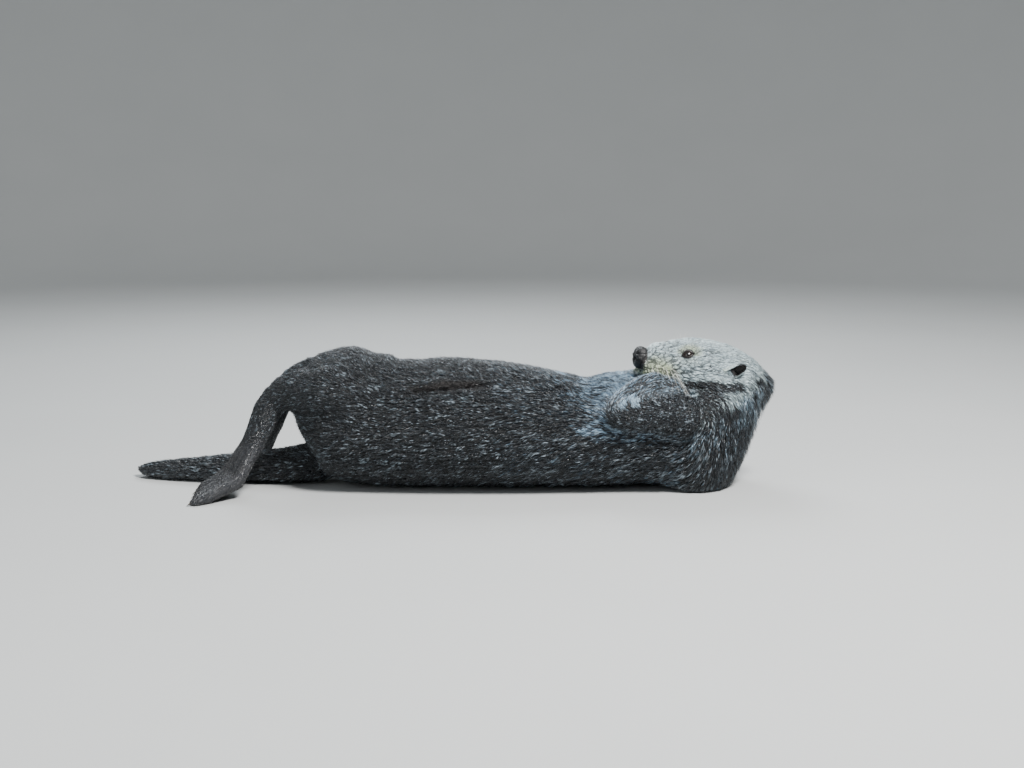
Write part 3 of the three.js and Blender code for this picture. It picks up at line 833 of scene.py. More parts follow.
def mixed(tree, share, a, b, blend="MIX"):
    """One colour over another; each is a socket or three numbers."""
    node = tree.nodes.new("ShaderNodeMix")
    node.data_type = "RGBA"
    node.blend_type = blend
    for index, source in ((0, share), (6, a), (7, b)):
        if isinstance(source, bpy.types.NodeSocket):
            tree.links.new(source, node.inputs[index])
        elif index == 0:
            node.inputs[index].default_value = source
        else:
            node.inputs[index].default_value = (*source, 1)
    return node.outputs[2]


def reckoned(tree, operation, a, b=0.0, clamp=False):
    return place(tree, "ShaderNodeMath", {0: a, 1: b}, operation=operation, use_clamp=clamp).outputs[0]


def eased(tree, value, start, end, low=0.0, high=1.0):
    links = {"Value": value, "From Min": start, "From Max": end, "To Min": low, "To Max": high}
    return place(tree, "ShaderNodeMapRange", links, interpolation_type="SMOOTHSTEP").outputs[0]


def roughened(tree, shader, height, strength, distance):
    """Fine relief, as a bump on the shader."""
    links = {"Height": height, "Strength": strength, "Distance": distance}
    relief = place(tree, "ShaderNodeBump", links)
    tree.links.new(relief.outputs[0], shader.inputs["Normal"])


def new_material(name):
    material = bpy.data.materials.new(name)
    material.use_nodes = True
    return material, material.node_tree, material.node_tree.nodes["Principled BSDF"]


def mottled_material(name, scale, detail, colours, roughness):
    """A plain material that varies softly between two colours and two roughnesses."""
    material, tree, shader = new_material(name)
    place_of = place(tree, "ShaderNodeTexCoord").outputs["Object"]
    mottle = place(tree, "ShaderNodeTexNoise", {"Vector": place_of, "Scale": scale, "Detail": detail})
    mottle = mottle.outputs["Fac"]
    tree.links.new(mixed(tree, mottle, *colours), shader.inputs["Base Color"])
    tree.links.new(eased(tree, mottle, 0.3, 0.7, *roughness), shader.inputs["Roughness"])
    return material, tree, shader, mottle


def wet_fur_group():
    masks = ("Tone", "Along", "Chance", "Across", "Warmth", "Bare", "Brown", "Crack")
    tree, given, out = group_of(
        "Wet fur",
        [(mask, "NodeSocketFloat") for mask in masks],
        [("Colour", "NodeSocketColor"), ("Roughness", "NodeSocketFloat"), ("Strands", "NodeSocketFloat")],
    )
    mask = {name: given.outputs[name] for name in masks}
    lane = reckoned(tree, "MULTIPLY_ADD", mask["Chance"], LANES_APART)
    across = reckoned(tree, "MULTIPLY", mask["Across"], STRANDS_ACROSS)
    along = reckoned(tree, "MULTIPLY", mask["Along"], STRANDS_ALONG)
    lanes = place(tree, "ShaderNodeCombineXYZ", {"X": reckoned(tree, "ADD", across, lane), "Y": along})
    strand = place(tree, "ShaderNodeTexNoise", {"Vector": lanes.outputs[0], "Scale": 1.3, "Detail": 2.0})
    strand = eased(tree, strand.outputs["Fac"], 0.33, 0.67)
    dark = mixed(tree, mask["Along"], DARK_ROOT, DARK_TIP)
    dull = eased(tree, mask["Chance"], 0.45, 0.0, 0.0, 0.6)
    dark = mixed(tree, dull, dark, DULL_DARK, "MULTIPLY")
    tipped = eased(tree, mask["Along"], 0.30, 0.85, 0.0, 0.85)
    silvered = eased(tree, mask["Chance"], SILVER_FROM, SILVER_FULL)
    tipped = reckoned(tree, "MULTIPLY", silvered, tipped)
    dark = mixed(tree, tipped, dark, SILVER_AND_GLINT)
    pale = mixed(tree, mask["Along"], PALE_ROOT, PALE_TIP)
    dull = eased(tree, mask["Chance"], 0.15, 1.0, 0.0, 0.8)
    pale = mixed(tree, dull, pale, DULL_PALE, "MULTIPLY")
    # Yellow stain where the warmth is high, painted sky reflection where it is low.
    for end, stain in ((1.0, YELLOW_FUR), (0.0, SKY_SHEEN_TINT)):
        pale = mixed(tree, eased(tree, mask["Warmth"], 0.5, end), pale, stain, "MULTIPLY")
    odds = reckoned(tree, "SUBTRACT", mask["Tone"], mask["Chance"])
    sway = reckoned(tree, "MULTIPLY_ADD", odds, 2.6)
    tree.links.new(mask["Tone"], sway.node.inputs[2])
    colour = mixed(tree, reckoned(tree, "ADD", sway, 0.0, clamp=True), dark, pale)
    colour = mixed(tree, mask["Brown"], colour, mixed(tree, mask["Along"], BROWN_FUR, DARK_TIP))
    colour = mixed(tree, reckoned(tree, "MULTIPLY", strand, 0.35), colour, STRAND_SHADE, "MULTIPLY")
    # Painted shade at the partings between clumps, over the dark underfur that shows there.
    parting = eased(tree, mask["Along"], 1.3, 0.1, 0.74, 0.97)
    parting = reckoned(tree, "MULTIPLY", eased(tree, mask["Crack"], 0.1, 0.75), parting)
    colour = mixed(tree, parting, colour, PARTING_SHADE, "MULTIPLY")
    # Bare skin of the lids, nose and lips, and the fold, painted near black as shade.
    colour = mixed(tree, mask["Bare"], colour, BARE_SKIN_AND_FOLD_SHADE)
    tree.links.new(colour, out.inputs["Colour"])
    rough = reckoned(tree, "MAXIMUM", eased(tree, mask["Chance"], 0, 1, 0.14, 0.46), mask["Crack"])
    tree.links.new(reckoned(tree, "MINIMUM", rough, 0.85), out.inputs["Roughness"])
    tree.links.new(strand, out.inputs["Strands"])
    return tree


WET_FUR = wet_fur_group()


def fur_material(name, grain, specular, sheen):
    """Wet fur read from a piece's own masks, with fine hairs as bump."""
    material, tree, shader = new_material(name)
    fur = place(tree, "ShaderNodeAttribute", attribute_name="fur")
    stain = place(tree, "ShaderNodeAttribute", attribute_name="stain")
    group = tree.nodes.new("ShaderNodeGroup")
    group.node_tree = WET_FUR
    for source, names in ((fur, ("Tone", "Along", "Chance")), (stain, ("Warmth", "Bare", "Brown"))):
        apart = place(tree, "ShaderNodeSeparateColor", {"Color": source.outputs["Color"]})
        for output, socket in zip(apart.outputs, names):
            tree.links.new(output, group.inputs[socket])
    tree.links.new(fur.outputs["Alpha"], group.inputs["Across"])
    tree.links.new(stain.outputs["Alpha"], group.inputs["Crack"])
    tree.links.new(group.outputs["Colour"], shader.inputs["Base Color"])
    tree.links.new(group.outputs["Roughness"], shader.inputs["Roughness"])
    roughened(tree, shader, group.outputs["Strands"], grain, 0.0006)
    shader.inputs["Specular IOR Level"].default_value = specular
    shader.inputs["Sheen Weight"].default_value = sheen
    shader.inputs["Sheen Roughness"].default_value = 0.4
    return material


FUR = {
    "pale_coat": fur_material("wet_pale_fur", 0.35, 0.45, 0.10),
    "body_coat": fur_material("wet_body_fur", 0.40, 0.60, 0.06),
    "arm_coat": fur_material("wet_arm_fur", 0.30, 0.65, 0.06),
    "foot_skin": fur_material("wet_foot_fur", 0.40, 0.60, 0.04),
}


def smooth_object(name, mesh, material):
    mesh.materials.clear()
    mesh.materials.append(material)
    mesh.polygons.foreach_set("use_smooth", np.ones(len(mesh.polygons), bool))
    return in_scene(name, mesh)


def finished(name, mesh, slot, material, *replaced):
    """Puts a piece into the scene, on the one body that a still model has."""
    piece = smooth_object(name, mesh, material)
    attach(piece, "root")
    if replaced:
        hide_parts(*replaced)
    return piece


under_the_coat = [n for n in flesh if not n.startswith(("eye", "ear", "nose"))]
skin = finished("skin", hide, "body_coat", FUR["body_coat"], *under_the_coat)
bpy.context.view_layer.objects.active = skin
skin.select_set(True)
bpy.ops.object.mode_set(mode="EDIT")
bpy.ops.mesh.select_all(action="SELECT")
bpy.ops.uv.smart_project(angle_limit=1.2, island_margin=0.002)
bpy.ops.object.mode_set(mode="OBJECT")
hide.uv_layers.active.name = "OFBake"

# ---- Coat ------------------------------------------------------------------------------------------
# The fur itself: tapering tufts, rooted in the hide and laid over each other along the body, their
# tips drawn together in wet clumps.

TUFT_LEVEL = 1.12  # the spacing changes from place to place in steps of this ratio
TUFT_CELL = 1.2 * MM
TRIES = 5  # the more places are tried, the more evenly the tufts that are kept lie
# Pale-tipped long hairs, partly painted glints on the wet fur.
BRIGHT_HAIRS = 0.18  # the share of the long hairs that are pale to the tip
ROOT_SUNK, FLOOR_GAP = 0.35 * MM, 0.2 * MM
RIDGE = 0.62  # a tuft's thickness, as a share of half its width
PATCH = 0.003


def carried(values, corners, weights):
    """Values of a mesh's vertices, at places inside its triangles."""
    shape = (len(weights), 3) + (1,) * (values.ndim - 1)
    return (values[corners] * weights.reshape(shape)).sum(1)


def rooted(mesh, spacing, seed):
    """Places spread evenly over a mesh: the corners each lies between, their weights, its map place."""
    rng = np.random.default_rng(seed)
    mesh.calc_loop_triangles()
    number = len(mesh.loop_triangles)
    corners, loops = np.empty(number * 3, np.int32), np.empty(number * 3, np.int32)
    mesh.loop_triangles.foreach_get("vertices", corners)
    mesh.loop_triangles.foreach_get("loops", loops)
    corners, loops = corners.reshape(-1, 3), loops.reshape(-1, 3)
    at = points_of(mesh)[corners]
    area = np.linalg.norm(np.cross(at[:, 1] - at[:, 0], at[:, 2] - at[:, 0]), axis=1) / 2
    gap = spacing[corners].mean(1)
    pick = np.repeat(np.arange(number), rng.poisson(TRIES * area / gap**2))
    pick = rng.permutation(pick)
    a, b = rng.random((2, len(pick)))
    a = np.sqrt(a)
    weights = np.stack([1 - a, a * (1 - b), a * b], 1)
    place_of = carried(points_of(mesh), corners[pick], weights)
    kept = np.sort(one_in_each_cell(place_of, gap[pick] / MM, TUFT_LEVEL, TUFT_CELL))
    flat = np.empty(len(mesh.loops) * 2, np.float32)
    mesh.uv_layers["OFBake"].data.foreach_get("uv", flat)
    spots = flat.reshape(-1, 2)[loops[pick[kept]]]
    return corners[pick[kept]], weights[kept], (spots * weights[kept][:, :, None]).sum(1)


def turned(vectors, axes, angles):
    c, s = np.cos(angles)[:, None], np.sin(angles)[:, None]
    return vectors * c + np.cross(axes, vectors) * s


class Tufts:
    """Every tuft on a mesh, as arrays: its rings of three vertices, its tip, and its masks."""

    def __init__(self, mesh, fields, clumps, seed, stations=(0.0, 0.5), bright=0.0):
        rng = np.random.default_rng(seed)
        corners, weights, self.spot = rooted(mesh, fields["spacing"] * MM, seed)
        at = {key: carried(value, corners, weights) for key, value in fields.items()}
        self.corner = corners[:, 0]
        root, up = at["point"], unit(at["normal"])
        lie = laid_flat(at["flow"], up)
        number = len(root)
        whose, offset, centre, parting = clumps.at(root, lie, at["clump"], at["stretch"])
        shared = clumps.chance[whose]
        long_way = at["length"] * MM * (0.75 + 0.5 * shared) * rng.uniform(0.8, 1.15, number)
        bend = 0.16 * drift(root, 30 * MM, seed + 2) + 0.10 * drift(root, 9 * MM, seed + 3)
        lie = turned(lie, up, bend + rng.normal(0, 0.09, number))
        surface = surface_tree(mesh)

        def on_line(t):
            """The hide under the tuft at a share of its length."""
            line = root + lie * (long_way * t)[:, None] - offset * (at["pull"] * t**1.3)[:, None]
            hits = [surface.find_nearest(Vector(p)) for p in line]
            facing = unit(0.6 * np.array([h[1] for h in hits]) + 0.4 * up)
            return np.array([h[0] for h in hits]), facing

        there = clumps.at(on_line(1.0)[0], lie, at["clump"], at["stretch"])[0]
        long_way = long_way * np.where(there == whose, 1.0, 1.0 - 0.5 * np.minimum(at["crackle"], 1.1))
        rise = at["depth"] * MM * (0.45 + 0.60 * centre) * rng.uniform(0.75, 1.2, number)
        lift = at["lift"] * MM * (0.25 + 0.75 * shared) * (0.4 + 0.6 * centre)
        self.rings, self.partings = [], []
        side = unit(np.cross(up, lie))
        broad = at["width"] * MM * rng.uniform(0.75, 1.25, number)
        for t in (*stations, 1.0):
            place_of, facing = on_line(t) if t > 0 else (root, up)
            if t > 0:
                parting = clumps.at(place_of, lie, at["clump"], at["stretch"])[3]
            parting = parting * at["crackle"]
            self.partings.append(parting)
            high = rise * t**0.7 * (1 - 0.65 * parting) + lift * t**1.6 - ROOT_SUNK * (1 - t)
            line = place_of + facing * high[:, None]
            if t == 1.0:
                self.tip = line
                break
            half = broad * (0.42 + 0.5 * t * (1 - t)) * (1 if t < 0.6 else 0.8)
            across = unit(side - facing * (side * facing).sum(1)[:, None])
            ridge = line + facing * (half * RIDGE)[:, None]
            ring = (line - across * half[:, None], ridge, line + across * half[:, None])
            self.rings.append(np.stack(ring, 1))
        self.stations = stations
        own = rng.random(number)
        self.chance = np.where(rng.random(number) < at["together"], 0.82 * shared + 0.18 * own, own)
        self.chance = np.where(rng.random(number) < bright, 0.94 + 0.06 * own, self.chance)
        self.masks = {key: at[key] for key in ("tone", "warmth", "bare", "brown")}

    def piece(self, name, chosen, slot):
        """The chosen tufts as one joined mesh."""
        number = int(chosen.sum())
        rings = [ring[chosen] for ring in self.rings]
        verts = np.concatenate([*rings, self.tip[chosen][:, None]], 1)
        each = verts.shape[1]
        verts[:, :, 2] = np.maximum(verts[:, :, 2], FLOOR_GAP)
        faces = [(0, 1, 2)]
        for ring in range(len(rings) - 1):
            a = ring * 3
            for one, two in ((0, 1), (1, 2), (2, 0)):
                faces += [(a + one, a + 3 + one, a + two), (a + two, a + 3 + one, a + 3 + two)]
        a = each - 4
        faces += [(a + one, each - 1, a + two) for one, two in ((0, 1), (1, 2), (2, 0))]
        faces = np.array(faces)
        index = (faces[None] + (np.arange(number) * each)[:, None, None]).reshape(-1)
        mesh = bpy.data.meshes.new(name)
        mesh.vertices.add(number * each)
        mesh.vertices.foreach_set("co", verts.astype(np.float32).ravel())
        mesh.loops.add(len(index))
        mesh.loops.foreach_set("vertex_index", index.astype(np.int32))
        mesh.polygons.add(len(index) // 3)
        mesh.polygons.foreach_set("loop_start", np.arange(0, len(index), 3, dtype=np.int32))
        mesh.update(calc_edges=True)
        along = np.array([t for t in self.stations for _ in range(3)] + [1.0])
        across = np.array([0.0, 0.5, 1.0] * len(rings) + [0.5])
        spread = lambda values: np.repeat(values[chosen], each)
        tiled = lambda values: np.tile(values, number)
        m = self.masks
        paint(mesh, "fur", (spread(m["tone"]), tiled(along), spread(self.chance), tiled(across)))
        partings = np.concatenate([np.repeat(p[chosen][:, None], 3, 1) for p in self.partings[:-1]], 1)
        partings = np.concatenate([partings, self.partings[-1][chosen][:, None]], 1).ravel()
        paint(mesh, "stain", (spread(m["warmth"]), spread(m["bare"]), spread(m["brown"]), partings))
        patch = np.stack([across - 0.5, along - 0.5], 1) * PATCH
        spots = (self.spot[chosen][:, None] + patch[None]).reshape(-1, 2)
        layer = mesh.uv_layers.new(name="OFBake")
        layer.data.foreach_set("uv", np.clip(spots, 0, 1)[index].astype(np.float32).ravel())
        return finished(name, mesh, slot, FUR[slot])


# The bare mask of the tufts also holds the painted shade of the fold.
fields = {
    "point": points, "normal": normals, "flow": flow, "length": length, "width": width,
    "spacing": spacing, "clump": clump, "pull": pull, "stretch": stretch, "lift": lift,
    "depth": np.maximum(around.blend(kinds, COAT_DEPTH, 4, 10) * (1 - 0.8 * by_fold), 1.3),
    "tone": tone, "warmth": warmth, "bare": black, "brown": brown, "crackle": crackle, "together": together,
}
tufts = Tufts(hide, fields, clumps, 21)
guard_fields = dict(fields)
for key, share in (("width", 0.46), ("spacing", 1.24), ("length", 1.12), ("depth", 1.15), ("crackle", 0.6)):
    guard_fields[key] = fields[key] * share
guard_hairs = Tufts(hide, guard_fields, clumps, 57, stations=(0.0,), bright=BRIGHT_HAIRS)
TRUNK_KINDS = ("chest", "belly", "rump")


def chooser(strands):
    """Tests on where each strand is rooted."""
    kind = kinds[strands.corner]
    root = strands.rings[0][:, 1]
    grows = (bare[strands.corner] < 0.55) & (strands.partings[0] < 0.96)
    low_down = root[:, 2] < 26 * MM
    return kind, in_head(root)[:, 0] > 34 * MM, low_down, root[:, 1] < 0, grows


kind, in_front, low_down, left, grows = chooser(tufts)
REGIONS = {
    "coat_face": ("pale_coat", np.isin(kind, HEAD_KINDS) & in_front),
    "coat_crown": ("pale_coat", np.isin(kind, HEAD_KINDS) & ~in_front),
    "coat_neck": ("pale_coat", kind == "neck"),
    "coat_chest_left": ("body_coat", (kind == "chest") & ~low_down & left),
    "coat_chest_right": ("body_coat", (kind == "chest") & ~low_down & ~left),
    "coat_belly_left": ("body_coat", (kind == "belly") & ~low_down & left),
    "coat_belly_right": ("body_coat", (kind == "belly") & ~low_down & ~left),
    "coat_rump": ("body_coat", (kind == "rump") & ~low_down),
    "coat_back": ("body_coat", np.isin(kind, TRUNK_KINDS) & low_down),
    "coat_arms": ("arm_coat", np.isin(kind, ("upper_arm", "forearm", "paw"))),
    "coat_legs": ("body_coat", np.isin(kind, ("thigh", "shank"))),
    "coat_feet": ("foot_skin", kind == "flipper"),
    "coat_tail": ("body_coat", np.isin(kind, ("tail_base", "tail_tip"))),
}
for name, (slot, chosen) in REGIONS.items():
    tufts.piece(name, chosen & grows, slot)
kind, in_front, low_down, left, grows = chooser(guard_hairs)
GUARD_REGIONS = {
    "coat_head_hairs": ("pale_coat", np.isin(kind, HEAD_KINDS + ("neck",))),
    "coat_left_hairs": ("body_coat", np.isin(kind, TRUNK_KINDS) & ~low_down & left),
    "coat_right_hairs": ("body_coat", np.isin(kind, TRUNK_KINDS) & ~low_down & ~left),
    "coat_limb_hairs": ("arm_coat", ~np.isin(kind, HEAD_KINDS + TRUNK_KINDS + ("neck", "flipper"))),
}
for name, (slot, chosen) in GUARD_REGIONS.items():
    guard_hairs.piece(name, chosen & grows, slot)

# ---- Ears ------------------------------------------------------------------------------------------
# Small thick leaves of skin, rolled to a tube at the root and open in front and below. Set low on
# the sides of the head, with short fur outside that darkens to the tip.

EAR_OPENS = np.array([0.40, 0.75, -0.50])
EAR_SUNK, EAR_RISES = 14.0 * MM, 19.0 * MM
EAR_WIDE, EAR_DEEP, EAR_THICK = 9.6 * MM, 7.2 * MM, 2.0 * MM
EAR_ROLL = math.radians(138)
EAR_STEPS, EAR_TURN = 26, 30
LARGEST_FACE = 12  # corners; a larger face is cut into triangles


def ear_rings(name, side):
    """Closed C-shaped outlines from the sunk root to the rounded tip, and where each point lies."""
    mirror = np.array([1, side, 1])
    axis = unit(EAR_AXIS * mirror)
    opens = laid_flat(EAR_OPENS * mirror, axis)
    wide = np.cross(axis, opens) * side
    heart = in_head(middle(name))
    for step in range(EAR_STEPS):
        u = step / (EAR_STEPS - 1)
        narrow = math.sqrt(max(1 - max((u - 0.35) / 0.652, 0) ** 2.3, 0.0))
        spine = heart + axis * (-EAR_SUNK + (EAR_SUNK + EAR_RISES) * u) - opens * 2.2 * MM * u**2
        thick = EAR_THICK * (1 - 0.45 * u) * max(narrow, 0.35)
        outline = []
        for face in (1, -1):
            for v in np.linspace(-1, 1, EAR_TURN) * face:
                angle = v * EAR_ROLL * (1 - 0.22 * u)
                reach = 1 - 0.10 * abs(v) ** 6 * u
                inset = thick * (face < 0) * (1 - 0.55 * v**6)
                w = (EAR_WIDE * narrow * (1 - 0.12 * u) - inset) * reach
                d = (EAR_DEEP * narrow * (1 - 0.2 * u) - inset) * reach
                point = spine + wide * w * math.sin(angle) - opens * d * math.cos(angle)
                outline.append((point, u, v, face))
        yield outline


def joined(shape, rows):
    """Faces from each closed outline to the next, which has as many corners."""
    corners = len(rows[0])
    for low, high in zip(rows, rows[1:]):
        for i in range(corners):
            j = (i + 1) % corners
            shape.faces.new((low[i], low[j], high[j], high[i]))


def closed_loft(shape, rings):
    """Adds a shell through the outlines to the shape, with both ends shut."""
    rows = [[shape.verts.new(point) for point in ring] for ring in rings]
    joined(shape, rows)
    shape.faces.new(rows[0][::-1])
    shape.faces.new(rows[-1])


def as_mesh(shape, name):
    """The finished shape as a mesh, with its faces turned outwards."""
    bmesh.ops.recalc_face_normals(shape, faces=shape.faces)
    bmesh.ops.triangulate(shape, faces=[f for f in shape.faces if len(f.verts) > LARGEST_FACE])
    mesh = bpy.data.meshes.new(name)
    shape.to_mesh(mesh)
    shape.free()
    return mesh


def ear_mesh():
    shells, marks = bmesh.new(), []
    for name, side in (("ear_left", 1), ("ear_right", -1)):
        rings = list(ear_rings(name, side))
        closed_loft(shells, [[from_head(p) for p, *_ in ring] for ring in rings])
        marks += [(u, v, face, side) for ring in rings for _, u, v, face in ring]
    return as_mesh(shells, "ears"), np.array(marks)


ears, ear_marks = ear_mesh()
ear_u, ear_v, ear_face, ear_side = ear_marks.T
ear_flow = np.array([unit(EAR_AXIS * np.array([1, s, 1])) for s in ear_side]) @ HEAD_AXES
ear_tone = np.clip(0.95 - 0.70 * ramp(ear_u, 0.50, 0.82), 0, 1) * np.where(ear_face > 0, 1, 0.08)
ear_bare = np.where(ear_face > 0, 0.35 * ramp(np.abs(ear_v), 0.85, 1.0), 0.75)
zeros = np.zeros(len(ear_u))
paint(ears, "fur", (ear_tone, zeros + 0.3, hide_rng.random(len(ear_u)), zeros + 0.5))
paint(ears, "stain", (0.6 + zeros, ear_bare, 0.35 * ramp(ear_u, 0.4, 0.9), zeros))
ear_map = ears.uv_layers.new(name="OFBake")
for loop in ears.loops:
    u, v, face, side = ear_marks[loop.vertex_index]
    ear_map.data[loop.index].uv = (0.25 + 0.2 * v + (side < 0) * 0.5, 0.02 + 0.46 * u + (face < 0) * 0.5)
finished("ears", ears, "pale_coat", FUR["pale_coat"], "ear_left", "ear_right")

outside = (ear_face > 0) & (ear_u > 0.05)
ear_fields = {
    "point": points_of(ears), "normal": normals_of(ears), "flow": laid_flat(ear_flow, normals_of(ears)),
    "length": 5.2 - 2.2 * ear_u, "width": 1.25 - 0.3 * ear_u, "spacing": np.where(outside, 1.25, 6.0),
    "clump": zeros + 3.0, "pull": zeros + 0.3, "stretch": zeros + 0.6, "lift": zeros,
    "depth": 1.1 - 0.5 * ear_u, "tone": ear_tone, "warmth": 0.5 + 0.2 * (1 - ear_u), "bare": zeros,
    "brown": 0.2 * ramp(ear_u, 0.4, 0.9), "crackle": zeros + 0.3, "together": zeros + 0.3,
}
ear_clumps = Clumps(ear_fields["point"], ear_fields["clump"], 43)
ear_tufts = Tufts(ears, ear_fields, ear_clumps, 41)
ear_tufts.piece("coat_ears", outside[ear_tufts.corner], "pale_coat")

# ---- Eyes ------------------------------------------------------------------------------------------
# Dark brown, wet, and deep between the lids. One closed globe each, with the clear front standing
# out a little over the iris.

CORNEA_RISE = 0.55 * MM
EYE_STEPS, EYE_AROUND = 48, 64
# Where each ring of colour gives way to the next, in centimetres from the middle of the front.
PUPIL_EDGE, IRIS_DARKENS, IRIS_EDGE = (0.235, 0.265), (0.36, 0.56), (0.54, 0.60)


def eyeball_mesh(name, side):
    out, back, up = eye_axes(side)
    ball = bmesh.new()
    rows, marks = [], []
    for step in range(1, EYE_STEPS):
        tilt = math.pi * (step / EYE_STEPS) ** 1.4
        swell = CORNEA_RISE * max(1 - (tilt / 0.62) ** 2, 0) ** 1.5
        row = []
        for turn in range(EYE_AROUND):
            angle = 2 * math.pi * turn / EYE_AROUND
            across = back * math.cos(angle) + up * math.sin(angle)
            aim = out * math.cos(tilt) + across * math.sin(tilt)
            point = eye_middles[name] + aim * (EYE_RADIUS - 0.02 * MM + swell)
            row.append(ball.verts.new(from_head(point)))
            marks.append((math.sin(min(tilt, math.pi / 2)) * EYE_RADIUS / MM, turn / EYE_AROUND))
        rows.append(row)
    for low, high in zip(rows, rows[1:]):
        for i in range(EYE_AROUND):
            j = (i + 1) % EYE_AROUND
            ball.faces.new((low[i], high[i], high[j], low[j]))
    for row, tilt in ((rows[0], 0.0), (rows[-1], math.pi)):
        swell = CORNEA_RISE if tilt == 0 else 0
        pole = ball.verts.new(from_head(eye_middles[name] + out * math.cos(tilt) * (EYE_RADIUS + swell)))
        marks.append((0.0 if tilt == 0 else 9.0, 0.0))
        for i in range(EYE_AROUND):
            ball.faces.new((pole, row[i], row[(i + 1) % EYE_AROUND]))
    mesh = as_mesh(ball, name)
    from_front, turn = np.array(marks).T
    angle = turn * 2 * math.pi
    flat = (from_front / 10, 0.5 + from_front / 20 * np.cos(angle), 0.5 + from_front / 20 * np.sin(angle))
    paint(mesh, "globe", (*flat, np.ones(len(marks))))
    return mesh


def eye_material():
    """From the middle: black pupil, brown iris with fine rays, dark edge, and brown-black white."""
    material, tree, shader = new_material("wet_eye")
    globe = place(tree, "ShaderNodeAttribute", attribute_name="globe")
    apart = place(tree, "ShaderNodeSeparateColor", {"Color": globe.outputs["Color"]})
    gap, x, y = apart.outputs
    dx, dy = reckoned(tree, "SUBTRACT", x, 0.5), reckoned(tree, "SUBTRACT", y, 0.5)
    turn = reckoned(tree, "ARCTAN2", dy, dx)
    links = {"X": reckoned(tree, "MULTIPLY", turn, 6.0), "Y": reckoned(tree, "MULTIPLY", gap, 4.0)}
    rays = place(tree, "ShaderNodeCombineXYZ", links)
    rays = place(tree, "ShaderNodeTexNoise", {"Vector": rays.outputs[0], "Scale": 2.0, "Detail": 3.0})
    iris = mixed(tree, rays.outputs["Fac"], (0.006, 0.0042, 0.0034), (0.027, 0.016, 0.011))
    iris = mixed(tree, eased(tree, gap, *IRIS_DARKENS), iris, (0.005, 0.004, 0.003))
    colour = mixed(tree, eased(tree, gap, *PUPIL_EDGE), (0.002, 0.002, 0.002), iris)
    colour = mixed(tree, eased(tree, gap, *IRIS_EDGE), colour, (0.012, 0.009, 0.008))
    tree.links.new(colour, shader.inputs["Base Color"])
    shader.inputs["Roughness"].default_value = 0.18
    shader.inputs["Coat Weight"].default_value = 1.0
    shader.inputs["Coat Roughness"].default_value = 0.03
    shader.inputs["Coat IOR"].default_value = 1.38
    return material


WET_EYE = eye_material()
for name, side in EYE_SIDES.items():
    finished(name + "_globe", eyeball_mesh(name, side), "eye", WET_EYE, name)

# ---- Bare skin of the lids and the nose ------------------------------------------------------------
# Black and wet, finely pebbled on the nose. The lids end in a smooth rounded rim that lies on the
# globe; the nose pad sits on the muzzle, with its two nostrils curling to the sides.

RIM_RADIUS = 0.95 * MM
RIM_STEPS, RIM_AROUND = 72, 10


def bare_skin(name, pebble, colour, roughness, relief):
    shades = [tuple(share * c for c in colour) for share in (0.4, 0.55, 1.6)]
    material, tree, shader, mottle = mottled_material(
        name, 260.0, 3.0, shades[1:], (roughness - 0.08, roughness + 0.12)
    )
    place_of = place(tree, "ShaderNodeTexCoord").outputs["Object"]
    links = {"Vector": place_of, "Scale": 1 / pebble}
    cells = place(tree, "ShaderNodeTexVoronoi", links, feature="DISTANCE_TO_EDGE")
    grooves = eased(tree, cells.outputs["Distance"], 0.0, 0.28)
    colour = mixed(tree, grooves, shades[0], mixed(tree, mottle, *shades[1:]))
    tree.links.new(colour, shader.inputs["Base Color"])
    roughened(tree, shader, grooves, relief, 0.0004)
    shader.inputs["Specular IOR Level"].default_value = 0.42
    return material


LID_SKIN = bare_skin("wet_lid_skin", 0.0006, (0.012, 0.009, 0.008), 0.34, 0.12)
NOSE_SKIN = bare_skin("nose_leather", 0.0010, (0.008, 0.008, 0.0095), 0.42, 0.32)


def rim_rings(name, side):
    """The lid's rim as a ring of round outlines that follows the almond on the globe."""
    out, back, up = eye_axes(side)
    centres = []
    for step in range(RIM_STEPS):
        turn = 2 * math.pi * step / RIM_STEPS
        p = SLIT_HALF * 1.05 * math.cos(turn)
        share = max(1 - (math.cos(turn)) ** 2, 0)
        q = (UPPER_LID if math.sin(turn) > 0 else LOWER_LID) * 1.03 * share * np.sign(math.sin(turn))
        reach = EYE_RADIUS + 0.42 * MM
        depth = math.sqrt(max(reach**2 - p * p - q * q, 0))
        centres.append(eye_middles[name] + out * depth + back * p + up * q)
    centres = np.array(centres)
    for _ in range(3):
        centres = (np.roll(centres, 1, 0) + np.roll(centres, -1, 0) + 2 * centres) / 4
    ahead = unit(np.roll(centres, -1, 0) - np.roll(centres, 1, 0))
    away = unit(centres - eye_middles[name])
    beside = unit(np.cross(ahead, away))
    size = RIM_RADIUS * np.where(((centres - eye_middles[name]) @ up) > 0, 1.1, 0.9)
    turns = np.arange(RIM_AROUND) * 2 * math.pi / RIM_AROUND
    return [
        [c + (a * math.cos(t) + b * 1.25 * math.sin(t)) * s for t in turns]
        for c, a, b, s in zip(centres, away, beside, size)
    ]


rims = bmesh.new()
for name, side in EYE_SIDES.items():
    rows = [[rims.verts.new(from_head(p)) for p in ring] for ring in rim_rings(name, side)]
    joined(rims, rows + rows[:1])
finished("lid_rims", as_mesh(rims, "lid_rims"), "nose_leather", LID_SKIN)

NOSE_STEPS, NOSE_AROUND = 90, 120
NOSTRIL_INNER, NOSTRIL_OUTER = np.array([7.8, 5.2, -1.0]), np.array([4.2, 12.0, -3.6])


